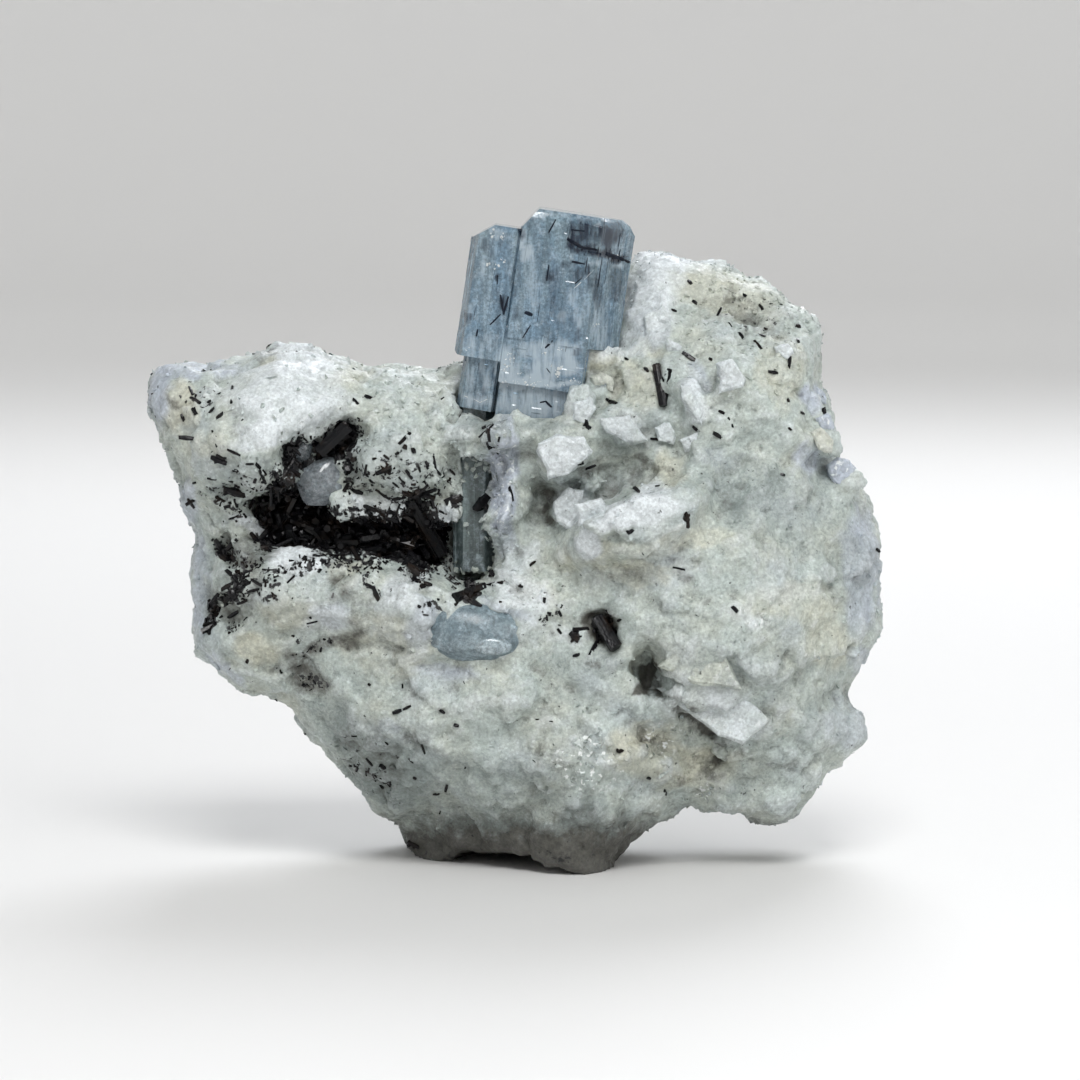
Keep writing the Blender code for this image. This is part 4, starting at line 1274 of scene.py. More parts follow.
    def add_tones(self, mesh: Mesh, points: np.ndarray, edges: np.ndarray) -> None:
        """Stores where the stone is white, grey, stained, painted with shade and so on.

        Args:
            mesh: The finished skin.
            points: Its points.
            edges: Its edges.
        """
        normals = read_normals(mesh)
        wobble = self.sway[0] * wander(points, self.sway[1])
        u, v = VIEW.seen(points)
        u, v = u + wobble[:, 0], v + wobble[:, 2]
        front = smooth_step(*self.front, normals @ np.array(VIEW.axes()[2]))
        smooth = points
        for _ in range(self.crevice_rounds):
            smooth = neighbour_mean(edges, smooth)
        hollow = np.sum((smooth - points) * normals, axis=1)
        crevice = np.clip(hollow * self.crevice_gain, *self.crevice_range)
        for number, (tone, ovals) in enumerate(PATCHES.items()):
            seen = sum(patch.strength(u, v) for patch in ovals)
            size, start, span = BACK_TONES[tone]
            shift = Vector((self.drift_step * number, 11.0, 5.0))
            drift = np.array([noise.noise((Vector(p) + shift) / size) for p in points])
            values = front * seen + (1.0 - front) * smooth_step(start, start + span, drift)
            if tone is Tone.BROWN:
                # Painted shade: darker brown toward the foot, where the stone turns away from the light.
                foot = self.foot_shade * smooth_step(*self.foot_shade_fade, v)
                # Painted shade: more brown in the crevices.
                values = values + self.crevice_shade * np.maximum(crevice, 0.0) + foot
            if tone is Tone.WHITE:
                # Lighter on ridges, where the stone bulges out.
                values = values + self.ridge_whitening * np.maximum(-crevice, 0.0)
            store(mesh, tone.value, values)
            if tone is Tone.SOOT:
                self.write_fields(mesh, points, values)

    def write_fields(self, mesh: Mesh, points: np.ndarray, soot: np.ndarray) -> None:
        """Stores where small crystals are scattered, and how densely.

        Args:
            mesh: The finished skin.
            points: Its points.
            soot: How sooty it is at each of them.
        """
        u, v = VIEW.seen(points)
        front = smooth_step(0.0, self.front_depth, self.front_depth - points[:, 1])
        clean = np.clip(WHITE_PATCHES[0].strength(u, v) * self.clean_gain, 0.0, 1.0) * front
        sugary = np.clip(sum(patch.strength(u, v) for patch in SUGAR_PATCHES), 0.0, 1.0)
        sugary = front * sugary + (1.0 - front) * self.back_sugar
        left = smooth_step(*self.left, u)
        off_base = smooth_step(*self.off_base, points[:, 2])
        off_base = off_base * (1.0 - np.clip(BUD_PLACE.strength(u, v), 0.0, 1.0) * (points[:, 1] < 0.0))
        fields = {
            "needles": smooth_step(*self.needle_soot, soot) * off_base,
            "jumble": smooth_step(*self.jumble_soot, soot) * off_base,
            "strays": (1.0 - clean) * off_base * (self.stray_share[0] + self.stray_share[1] * left),
            "sugar": (1.0 - clean) * off_base * (self.sugar_share[0] + self.sugar_share[1] * sugary),
        }
        for name, values in fields.items():
            store(mesh, name, values)


# ---------------------------------------------------------------- scattered crystals

@dataclass(frozen=True)
class Scatter:
    """A Geometry Nodes tree that sets small crystals on a skin."""

    name: str
    density: float
    long: Pair
    thick: Pair
    lift: float
    tilt: float
    seed: int
    field: str

    def tree(self, shapes: Collection, material: Material) -> NodeTree:
        """Builds the tree.

        Args:
            shapes: Crystals of unit length along X, of which each place takes one.
            material: What they are made of.

        Returns:
            The tree, whose inputs are Geometry, Density and Seed.
        """
        tree = bpy.data.node_groups.new(self.name, "GeometryNodeTree")
        for name, way, kind in (("Geometry", "INPUT", "Geometry"), ("Density", "INPUT", "Float"),
                                ("Seed", "INPUT", "Int"), ("Geometry", "OUTPUT", "Geometry")):
            tree.interface.new_socket(name=name, in_out=way, socket_type=f"NodeSocket{kind}")
        sheet = Sheet(tree)
        entry = sheet.node("NodeGroupInput")
        field_value = sheet.node("GeometryNodeInputNamedAttribute", {"Name": self.field}, data_type="FLOAT")
        amount = sheet.times(field_value.outputs[0], entry.outputs["Density"])
        places = sheet.node(
            "GeometryNodeDistributePointsOnFaces",
            {"Mesh": entry.outputs["Geometry"], "Density": amount, "Seed": entry.outputs["Seed"]},
            distribute_method="RANDOM",
        )
        shape = sheet.node(
            "GeometryNodeCollectionInfo", {"Collection": shapes, "Separate Children": True,
                                           "Reset Children": True},
        )
        turn = self.draw(sheet, (-self.tilt, -self.tilt, -math.pi), (self.tilt, self.tilt, math.pi), 1)
        turned = sheet.node(
            "FunctionNodeRotateRotation",
            {"Rotation": places.outputs["Rotation"],
             "Rotate By": sheet.node("FunctionNodeEulerToRotation", {0: turn}).outputs[0]},
            rotation_space="LOCAL",
        )
        long = self.draw(sheet, self.long[0] * MM, self.long[1] * MM, 2)
        thick = self.draw(sheet, self.thick[0] * MM, self.thick[1] * MM, 3)
        size = sheet.node("ShaderNodeCombineXYZ", {0: long, 1: thick, 2: thick})
        lifted = sheet.node(
            "GeometryNodeSetPosition",
            {"Geometry": places.outputs["Points"], "Offset": sheet.node(
                "ShaderNodeVectorMath", {0: places.outputs["Normal"], "Scale": self.lift * MM},
                operation="SCALE").outputs[0]},
        )
        placed = sheet.node(
            "GeometryNodeInstanceOnPoints",
            {"Points": lifted.outputs[0], "Instance": shape.outputs[0], "Pick Instance": True,
             "Rotation": turned.outputs[0], "Scale": size.outputs[0]},
        )
        real = sheet.node("GeometryNodeRealizeInstances", {0: placed.outputs[0]})
        made = sheet.node("GeometryNodeSetMaterial", {"Geometry": real.outputs[0], "Material": material})
        leave = sheet.node("NodeGroupOutput")
        tree.links.new(made.outputs[0], leave.inputs[0])
        return tree

    def draw(self, sheet: Sheet, low: object, high: object, step: int) -> NodeSocket:
        """A number or a vector for each crystal.

        Args:
            sheet: The tree.
            low: Its least value.
            high: Its greatest.
            step: Which of the scatter's draws, for its seed.

        Returns:
            The value's socket.
        """
        kind, first = ("FLOAT_VECTOR", 0) if isinstance(low, tuple) else ("FLOAT", 2)
        inputs = {first: low, first + 1: high, "Seed": self.seed + step}
        return sheet.node("FunctionNodeRandomValue", inputs, data_type=kind).outputs[first // 2]

    def mesh(self, skin: Mesh, shapes: Collection, material: Material) -> Mesh:
        """Runs the tree on a skin and returns the crystals as a plain mesh.

        Args:
            skin: The surface, with the density field on its points.
            shapes: The crystals to choose from.
            material: What they are made of.

        Returns:
            The mesh.
        """
        carrier = new_object(self.name + " carrier", skin.copy())
        modifier = carrier.modifiers.new(self.name, "NODES")
        modifier.node_group = self.tree(shapes, material)
        sockets = {item.name: item.identifier for item in modifier.node_group.interface.items_tree
                   if item.in_out == "INPUT"}
        modifier[sockets["Density"]] = self.density / (MM * MM)
        modifier[sockets["Seed"]] = self.seed
        mesh = evaluated(carrier)
        mesh.name = self.name
        bpy.data.objects.remove(carrier)
        return mesh


class Shapes:
    """The small crystals that are scattered, each of unit length along X."""

    def __init__(self) -> None:
        """Makes the collections; they stay out of the scene."""
        self.chips = self.collection("chips", [self.chip(seed, (1.0, 0.9, 0.8)) for seed in range(5)])
        self.prisms = self.collection("prisms", [self.prism(6), self.prism(5), self.prism(6, 0.6)])
        self.flakes = self.collection("flakes", [self.chip(20 + seed, (1.0, 0.8, 0.12)) for seed in range(3)])

    def collection(self, name: str, meshes: list[Mesh]) -> Collection:
        """A collection with one object for each mesh.

        Args:
            name: Its name.
            meshes: What it holds.

        Returns:
            The collection.
        """
        made = bpy.data.collections.new(name)
        for mesh in meshes:
            made.objects.link(bpy.data.objects.new(mesh.name, mesh))
        return made

    @staticmethod
    def chip(seed: int, size: Triple) -> Mesh:
        """A broken grain with flat faces.

        Args:
            seed: Which of many.
            size: Its extents.

        Returns:
            Its mesh.
        """
        chance = random.Random(seed)
        work = bmesh.new()
        for _ in range(10):
            corner = Vector((chance.gauss(0, 1), chance.gauss(0, 1), chance.gauss(0, 1))).normalized()
            work.verts.new([0.5 * share * value for share, value in zip(size, corner)])
        hull = bmesh.ops.convex_hull(work, input=work.verts)
        loose = [item for item in hull["geom_interior"] if isinstance(item, BMVert)]
        bmesh.ops.delete(work, geom=loose, context="VERTS")
        bmesh.ops.recalc_face_normals(work, faces=work.faces)
        return plain_mesh(work, f"chip {seed}")

    def prism(self, sides: int, taper: float = 0.9) -> Mesh:
        """A slim prism with a low pyramid at one end.

        Args:
            sides: How many sides.
            taper: The far end's thickness.

        Returns:
            Its mesh.
        """
        work = bmesh.new()
        bmesh.ops.create_cone(
            work, cap_ends=True, segments=sides, radius1=0.5, radius2=0.5 * taper, depth=0.9
        )
        top = max(work.faces, key=lambda face: face.calc_center_median().z)
        bmesh.ops.poke(work, faces=[top], offset=0.06)
        bmesh.ops.rotate(work, cent=(0, 0, 0), matrix=Matrix.Rotation(math.pi / 2, 3, "Y"), verts=work.verts)
        bmesh.ops.recalc_face_normals(work, faces=work.faces)
        return plain_mesh(work, f"prism {sides} {taper}")


def joined(name: str, meshes: list[Mesh]) -> Mesh:
    """One mesh from several.

    Args:
        name: The new mesh's name.
        meshes: What to join.

    Returns:
        The new mesh.
    """
    work = bmesh.new()
    for mesh in meshes:
        work.from_mesh(mesh)
    return plain_mesh(work, name)


def finished(name: str, mesh: Mesh, look: Material, slot: Slot, *nodes: str) -> Object:
    """Dresses a mesh and sets it on the body as a piece.

    Args:
        name: The piece's name.
        mesh: Its mesh.
        look: Its material.
        slot: The record's slot; not used.
        *nodes: The CAD nodes that it stands for.

    Returns:
        The piece.
    """
    low, high = (np.array(corner) / MM for corner in CAD_BOX)
    write_points(mesh, np.clip(read_points(mesh), low, high))
    mesh.materials.clear()
    mesh.materials.append(look)
    piece = new_object(name, mesh)
    if nodes:
        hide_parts(*nodes)
    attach(piece, BODY)
    LOG.info("%s: %d faces", name, len(mesh.polygons))
    return piece


# ---------------------------------------------------------------- sugary grains

@dataclass
class Sugar:
    """Small broken grains of albite all over the rough parts of the stone."""

    finishes: Finishes
    stone: Object
    shapes: Shapes
    grains: Scatter = Scatter("sugary grains", 1.7, (0.40, 1.05), (0.35, 0.90), -0.12, math.pi, 31, "sugar")
    flakes: Scatter = Scatter("glassy flakes", 0.5, (0.5, 1.4), (0.4, 1.0), 0.0, 0.6, 37, "shine")

    def build(self) -> Object:
        """Makes the grains, which keep the tones of the stone under them.

        Returns:
            The grains.
        """
        flakes = self.flakes.mesh(self.stone.data, self.shapes.flakes, self.finishes.glassy)
        finished("glassy_flakes", flakes, self.finishes.glassy, Slot.ALBITE)
        mesh = self.grains.mesh(self.stone.data, self.shapes.chips, self.finishes.albite)
        return finished("sugary_grains", mesh, self.finishes.albite, Slot.ALBITE)


# ---------------------------------------------------------------- albite blades

@dataclass(frozen=True)
class Blade:
    """A flat albite crystal with its own outline in the front view."""

    name: str
    outline: tuple[Pair, ...]
    stand: float
    lean: Pair
    tones: tuple[tuple[Tone, float], ...]


PURE = ((Tone.WHITE, 1.0),)
PALE = ((Tone.WHITE, 0.75), (Tone.LILAC, 0.35))
LILAC_EDGE = ((Tone.LILAC, 1.0), (Tone.SHINE, 0.8))
CREAM_BLOCK = ((Tone.CREAM, 0.9), (Tone.WHITE, 0.35))
GREENISH = ((Tone.WHITE, 0.6), (Tone.LILAC, 0.25), (Tone.SHINE, 0.4))
DULL = ((Tone.GREY, 0.22), (Tone.CREAM, 0.3), (Tone.SHINE, 0.3))

BLADES = (
    Blade("broad", (
        (2, 37.9), (3.7, 38.7), (6.1, 38.4), (6.8, 37.2), (6.4, 36.6), (4.8, 35.2), (3, 34.7), (2.8, 35.6),
        (2, 37.2),
    ), 1.0, (14, -8), PURE),
    Blade("lower", (
        (3.4, 32.6), (4.8, 33.8), (6.1, 33.6), (5.8, 32.1), (6.4, 31.6), (5, 30), (3.7, 30.8),
    ), 0.7, (6, 10), PURE),
    Blade("slanting", (
        (7.7, 40.1), (10.3, 40.4), (11.9, 38.2), (10.6, 37.9), (8.2, 38.9),
    ), 0.5, (16, 8), PALE),
    Blade("tall", (
        (14.9, 43.3), (15.9, 43), (17, 40.6), (16.9, 39.5), (15.8, 40.9), (15.1, 41.9),
    ), 0.6, (4, 20), PALE),
    Blade("square", (
        (18.3, 45.1), (19.7, 45.6), (20.9, 43.8), (20.6, 43.1), (18.3, 42.3), (18.6, 43.6),
    ), 0.7, (10, -10), PALE),
    Blade("upper grain", (
        (23.4, 46.7), (24.7, 47), (25.3, 46.1), (24.7, 45.3), (23.6, 46.1),
    ), 0.5, (18, 4), PURE),
    Blade("cream block", (
        (6.7, 43.9), (7.7, 44.5), (8.7, 43.8), (8.7, 42.7), (7.2, 42.6),
    ), 0.6, (12, -6), CREAM_BLOCK),
    Blade("block by the prisms", (
        (5.2, 41.6), (6.7, 42.2), (7.3, 41.1), (6.3, 39.6), (5.1, 40),
    ), 0.5, (10, 12), PALE),
    Blade("wedge", ((12.6, 39.3), (14.1, 40.1), (15, 39.3), (14.3, 37.9), (13, 38.2)), 0.5, (-8, 12), PALE),
    Blade("small wedge", ((14.8, 38.2), (16.5, 38.9), (16.7, 37.6), (15.4, 37.1)), 0.4, (8, -14), PALE),
    Blade("smooth lens", (
        (11.7, 49.4), (13.3, 50.5), (14.3, 48.6), (13.8, 46.5), (11.7, 47),
    ), 0.35, (10, 6), PALE),
    Blade("little lens", ((13.8, 47.3), (15.1, 46.7), (14.8, 45.9), (13.8, 46.2)), 0.35, (10, -6), PALE),
    Blade("yellow edge", (
        (26.8, 38.9), (27.7, 39.3), (28.9, 38.2), (28.7, 37.1), (27.5, 37.3),
    ), 0.5, (4, 16), CREAM_BLOCK),
    Blade("lilac over yellow", (
        (27.2, 40.2), (28.4, 40.6), (28.9, 39.5), (28.7, 38.4), (27.7, 39.1),
    ), 0.4, (10, 20), LILAC_EDGE),
    Blade("lilac edge", (
        (28.3, 35.9), (29.3, 36.5), (30.4, 36.4), (31.2, 35.1), (30.9, 33.9), (29.9, 33.3), (28.6, 34.6),
    ), 0.5, (8, 18), LILAC_EDGE),
    Blade("small lilac", (
        (27.3, 43.1), (28.2, 42.4), (28.2, 41.5), (27.3, 41.5),
    ), 0.3, (0, 14), LILAC_EDGE),
    Blade("great flake", (
        (12.8, 15.6), (16.0, 16.2), (20.4, 15.3), (23.0, 12.7), (20.6, 10.6), (18.4, 11.4), (15.4, 13.6),
    ), 0.08, (-3, -3), GREENISH),
    Blade("upper flake", (
        (13.0, 17.6), (14.4, 19.1), (16.6, 19.8), (19.2, 18.5), (20.5, 15.5), (16.0, 16.1),
    ), -0.12, (3, 2), DULL),
    Blade("foot flake", (
        (17.6, 11.0), (19.6, 10.9), (20.4, 9.3), (19.0, 8.9), (17.8, 9.8),
    ), 0.4, (-10, 10), DULL),
    Blade("bank chip", (
        (5.4, 32.3), (7.7, 32.9), (8.7, 31.6), (7.3, 30.2), (5.7, 30.4),
    ), 0.5, (12, 4), PURE),
)


@dataclass
class AlbiteBlades:
    """Flat albite crystals that stand out of the stone's front."""

    finishes: Finishes
    skin: Skin
    root: float = 1.8
    rough: tuple[Pair, ...] = ((0.24, 1.2), (0.16, 0.4))
    apart: float = 13.0
    bevel: float = 0.22

    def build(self) -> Object:
        """Makes every blade and joins them in one piece."""
        meshes = [self.blade(blade, number) for number, blade in enumerate(BLADES)]
        return finished("albite_blades", joined("albite_blades", meshes), self.finishes.albite, Slot.ALBITE)

    def blade(self, blade: Blade, number: int) -> Mesh:
        """One blade: its outline drawn back into the stone, bevelled and roughened.

        Args:
            blade: Its sizes.
            number: Which of the blades, for its own roughness.

        Returns:
            Its mesh.
        """
        middle = np.mean(blade.outline, axis=0)
        seat, _ = self.skin.at(*middle)
        back = VIEW.axes()[2]
        facing = Euler((math.radians(blade.lean[0]), 0.0, math.radians(blade.lean[1]))).to_matrix() @ back
        front = seat + back * blade.stand
        work = bmesh.new()
        ring = []
        for u, v in blade.outline:
            ray = VIEW.ray(u, v)
            reach = (front - VIEW.eye()).dot(facing) / ray.dot(facing)
            ring.append(work.verts.new(VIEW.eye() + ray * reach))
        drawn_back(work, ring, -back * (self.root + blade.stand))
        rim = [edge for edge in work.edges if all(corner in ring for corner in edge.verts)]
        bmesh.ops.bevel(work, geom=rim, offset=self.bevel, segments=1, affect="EDGES")
        bmesh.ops.triangulate(work, faces=work.faces[:])
        for _ in range(2):
            bmesh.ops.subdivide_edges(work, edges=work.edges[:], cuts=1, use_grid_fill=True)
        work.normal_update()
        for corner in work.verts:
            place = corner.co + Vector((self.apart * number, 0.0, 0.0))
            corner.co += corner.normal * sum(high * noise.noise(place / wide) for high, wide in self.rough)
        mesh = mesh_of(work, blade.name)
        chosen = dict(blade.tones)
        for tone in Tone:
            store(mesh, tone.value, np.full(len(mesh.vertices), chosen.get(tone, 0.0)))
        return mesh


# ---------------------------------------------------------------- schorl

NEEDLES = (
    (-29.7, 43, -29.4, 42.3, 0.17), (-29.5, 42, -28.8, 41.6, 0.23), (-29.1, 42.2, -29.2, 40.5, 0.17),
    (-29.4, 41, -29.1, 40.6, 0.2), (-25.8, 43, -25.9, 41.6, 0.21), (-27.2, 40.2, -26.7, 40.6, 0.21),
    (-27.9, 40.7, -27.5, 41.1, 0.15), (-30.4, 40.5, -30.2, 40, 0.17), (-30.4, 38.6, -29.4, 38.3, 0.25),
    (-27.6, 39, -27.2, 37.6, 0.14), (-27.6, 36.6, -26.4, 36.1, 0.3), (-27.1, 36.8, -26.5, 36.5, 0.25),
    (-26.2, 37.3, -25.1, 36.8, 0.15), (-24.5, 36, -23.9, 36, 0.15), (-23.6, 36, -22.8, 35.1, 0.23),
    (-23.3, 35.4, -22.8, 34.3, 0.2), (-26.4, 33.7, -24.8, 33.2, 0.42), (-27.3, 33, -26.5, 32.6, 0.17),
    (-26, 32.5, -25.1, 31.7, 0.23), (-26.5, 32.1, -25.9, 32.2, 0.17), (-25.6, 32.7, -25.4, 32.1, 0.17),
    (-29.9, 32.4, -29.3, 32.7, 0.2), (-29.8, 32.8, -29.3, 32.1, 0.23), (-28, 34.7, -27.3, 34.6, 0.15),
    (-26.6, 30.8, -25.3, 31.3, 0.12), (-24.3, 34.1, -23.6, 33.6, 0.15), (-23.1, 32.7, -22.3, 32, 0.2),
    (-22.3, 34, -21.9, 32.9, 0.17), (-14.8, 41.9, -14.4, 41.5, 0.17), (-13.7, 42.2, -13.2, 42, 0.19),
    (-10.6, 37.9, -9.7, 38.8, 0.21), (-12.6, 35.2, -11.4, 35.7, 0.3), (-13.6, 35.9, -13.7, 35.1, 0.17),
    (-13.2, 34.6, -13, 34.4, 0.25), (-11.2, 32.8, -10.1, 33, 0.19), (-10, 35.4, -9.5, 34.7, 0.19),
    (-10.6, 34.8, -10.1, 34.3, 0.15), (-12, 36.8, -11.6, 36.5, 0.15), (-15.3, 36.4, -14.9, 35.5, 0.2),
    (-14.9, 33.7, -14, 33.3, 0.23), (-11.5, 32.8, -12.5, 33.5, 0.15), (-11.2, 34.3, -10.7, 33.9, 0.15),
    (-9.4, 37.4, -9.3, 37.1, 0.25), (-10.2, 37.6, -10, 37.5, 0.25), (-7.5, 36.7, -7.3, 35.5, 0.18),
    (-7.3, 35.5, -6.9, 35, 0.18), (-8.2, 36.2, -8, 35.8, 0.2), (-9.1, 31.4, -8.8, 30.9, 0.17),
    (-8.1, 30.8, -7.3, 30.6, 0.15), (-6.9, 31.7, -6.3, 31.5, 0.15), (-8.3, 34.4, -8, 34, 0.15),
    (-6, 35.5, -5.6, 35.1, 0.15), (-2.9, 39.4, -2.3, 37.5, 0.3), (-2.5, 39.1, -2.4, 38.1, 0.25),
    (-3.9, 36.6, -4, 35.5, 0.25), (-4.3, 35.8, -3.8, 35.6, 0.3), (-6.3, 32.5, -5.1, 32.9, 0.45),
    (-3.4, 32.6, -2.6, 33, 0.55), (-4.1, 30.8, -3, 30.3, 0.21), (-4.5, 24.9, -3.8, 25.6, 0.3),
    (-4.7, 24, -3.3, 23.1, 0.35), (-4.2, 23.6, -3.3, 24.2, 0.28), (-2.7, 24.9, -1.3, 25.2, 0.28),
    (-2.3, 26.3, -2, 26, 0.3), (1.3, 26.8, 1.7, 27.1, 0.17), (0.3, 25, 0.5, 24.9, 0.2),
    (-0.6, 33.9, -0.3, 32.7, 0.16), (6.3, 40.1, 6.5, 39.3, 0.28), (8.5, 41.7, 9.1, 41.5, 0.23),
    (8.2, 41.9, 8.7, 41.6, 0.15), (6.4, 35.6, 7.2, 35.9, 0.15), (5.7, 36, 6.1, 36.1, 0.2),
    (10.7, 34.3, 11.2, 33.5, 0.17), (10.2, 29.7, 10.6, 30, 0.17), (5, 20.6, 5.6, 20, 0.3),
    (6.7, 18.7, 7.4, 20, 0.2), (7.4, 20, 7.6, 21.5, 0.2), (7.6, 22, 8.2, 21.1, 0.4),
    (8, 21.6, 8.9, 20, 0.4), (8.2, 20.3, 8.9, 20.6, 0.25), (9.3, 21.8, 9.5, 21.9, 0.17),
    (3.9, 22.6, 4.1, 22.2, 0.15), (3.8, 21, 4.1, 20.6, 0.15), (5.3, 18.6, 5.7, 18.7, 0.17),
    (1.8, 12.8, 3.3, 12.6, 0.09), (15.7, 52.6, 15.9, 52.4, 0.21), (16.1, 50.8, 16.4, 50.6, 0.21),
    (14.2, 50, 14.5, 49.9, 0.17), (22.2, 50.4, 22.4, 50.1, 0.21), (20.7, 51.4, 20.9, 51.3, 0.17),
    (23.1, 50.6, 24.2, 50.5, 0.09), (20.3, 47.9, 20.6, 47.5, 0.23), (19.2, 49, 19.6, 48.5, 0.12),
    (18.3, 49.5, 18.6, 50.3, 0.14), (21.7, 47.2, 22.3, 46.5, 0.16), (22, 47.8, 22.7, 47.6, 0.12),
    (25.5, 48.6, 25.8, 48.5, 0.2), (25.6, 47.3, 25.7, 47.1, 0.17), (24.9, 45.8, 24.8, 44.9, 0.23),
    (23, 44.4, 23.7, 44.3, 0.2), (17.6, 45.6, 17.8, 45.5, 0.17), (15.2, 46.1, 16.2, 45.5, 0.23),
    (12.6, 44.9, 14.1, 44.5, 0.21), (14, 44.5, 13.5, 41.4, 0.25), (13, 44.7, 13.4, 43.6, 0.15),
    (11.7, 44.7, 11.9, 44.5, 0.21), (9.9, 45.6, 10.1, 45.5, 0.17), (16.1, 39.4, 16.4, 39.1, 0.21),
    (18, 38.8, 18.5, 38.5, 0.23), (19.3, 40.2, 19.7, 39.4, 0.15), (18.5, 40.8, 18.9, 40.6, 0.17),
    (24.7, 41.9, 24.8, 41.7, 0.17), (24.8, 39.3, 25, 39.1, 0.15), (25.9, 40.7, 26.1, 40.6, 0.17),
    (27.9, 41.1, 28, 40.6, 0.23), (24.1, 35.1, 24.4, 35, 0.17), (12.3, 38.3, 13.4, 38.2, 0.15),
    (10.6, 34.2, 11.1, 33.6, 0.17), (12.7, 34, 13.7, 34.1, 0.12), (15.4, 31.5, 15.6, 30.4, 0.3),
    (15.3, 31.1, 15.6, 30.9, 0.3), (10.1, 29.9, 10.4, 29.8, 0.17), (32.8, 28.3, 33, 28.1, 0.2),
    (14.3, 26.6, 15.3, 26.4, 0.15), (19.7, 23, 20.1, 22.6, 0.2), (-24.5, 18.1, -24.4, 18, 0.23),
    (-21.4, 17.2, -21.3, 17, 0.17), (-28.2, 21.4, -27.9, 20.7, 0.3), (-27, 22.7, -26.3, 23.3, 0.25),
    (-25.6, 23.8, -26, 24.6, 0.3), (-25.4, 24.4, -24.2, 25.2, 0.25), (-26.7, 24.6, -25.8, 25.1, 0.25),
    (-27.3, 29.1, -26.7, 28, 0.3), (-26.7, 28, -26.2, 27.3, 0.25), (-26.2, 28.4, -25.4, 29.1, 0.23),
    (-26.3, 26.3, -25.4, 25.5, 0.25), (-25.8, 27.3, -24.5, 26.7, 0.23), (-25, 25.9, -24, 26.3, 0.2),
    (-27.6, 23.6, -27.1, 24.2, 0.2), (-26.1, 22.1, -25.3, 22.6, 0.2), (-25.3, 23.3, -24.5, 23.6, 0.17),
    (-24.3, 24.4, -23.4, 24.6, 0.15), (-24, 25.5, -23.1, 24.9, 0.17), (-19, 21.5, -18.1, 21.7, 0.12),
    (-20.8, 25.2, -20, 26, 0.12), (-12.9, 24.6, -12.5, 23.7, 0.25), (-13.6, 25.1, -12.9, 24.7, 0.2),
    (-11.1, 13.4, -10.5, 13.6, 0.25), (-10.2, 13.7, -9.6, 14, 0.14), (-13.4, 16, -13.3, 15.9, 0.17),
    (-8.6, 10.5, -8.3, 9.7, 0.12), (-9.7, 9.2, -9.4, 8.9, 0.17), (-12.2, 8.6, -12, 8.4, 0.25),
    (-13.6, 9.2, -13.1, 8.6, 0.15), (-12.3, 6.8, -12.1, 6.6, 0.2), (-6.4, 6.4, -6.3, 6.8, 0.17),
    (-7.5, 6, -7, 6, 0.14), (-9.3, 7.5, -9.1, 7.4, 0.17), (-5.6, 12.3, -5.3, 12.2, 0.2),
    (-6.9, 13.6, -6.6, 13.4, 0.17), (-9.7, 1.6, -8.9, 1.2, 0.3), (9.2, 10, 9.4, 9.8, 0.2),
    (12, 7.5, 12.2, 7.4, 0.2), (13.5, 6.3, 13.6, 6, 0.23), (9.5, 10, 9.7, 9.9, 0.17),
    (-9.7, 27, -8.9, 26, 0.3), (-9.3, 25.6, -8.5, 24.9, 0.3), (-8.3, 25.2, -7.7, 25, 0.25),
    (-8, 23.3, -7.8, 23.1, 0.2), (-8.9, 23.1, -8.7, 23, 0.15),
)


def add_rod(work: BMesh, start: Vector, end: Vector, radius: float, chance: random.Random) -> None:
    """Adds a prism with an uneven section and slanted ends.

    Args:
        work: The mesh under construction.
        start: Middle of one end.
        end: Middle of the other.
        radius: Half its thickness.
        chance: Draws for its section and ends.
    """
    along = end - start
    half = along.length / 2 + 0.4 * radius
    turn = along.to_track_quat("Z", "Y").to_matrix() @ Matrix.Rotation(chance.uniform(0, math.pi), 3, "Z")
    shares = [chance.uniform(0.75, 1.15) for _ in range(6)]
    slants = [chance.uniform(-0.7, 0.7) for _ in range(2)]
    rings = []
    for height, taper, slant in ((-half, 0.75, slants[0]), (0.0, 1.0, 0.0), (half, 0.75, slants[1])):
        ring = []
        for side, share in enumerate(shares):
            angle = side * math.pi / 3
            reach = radius * taper * share
            local = Vector((reach * math.cos(angle), reach * math.sin(angle),
                            height + slant * reach * math.cos(angle)))
            ring.append(work.verts.new((start + end) / 2 + turn @ local))
        rings.append(ring)
    bridged(work, rings)
    work.faces.new(rings[0][::-1])
    work.faces.new(rings[-1])


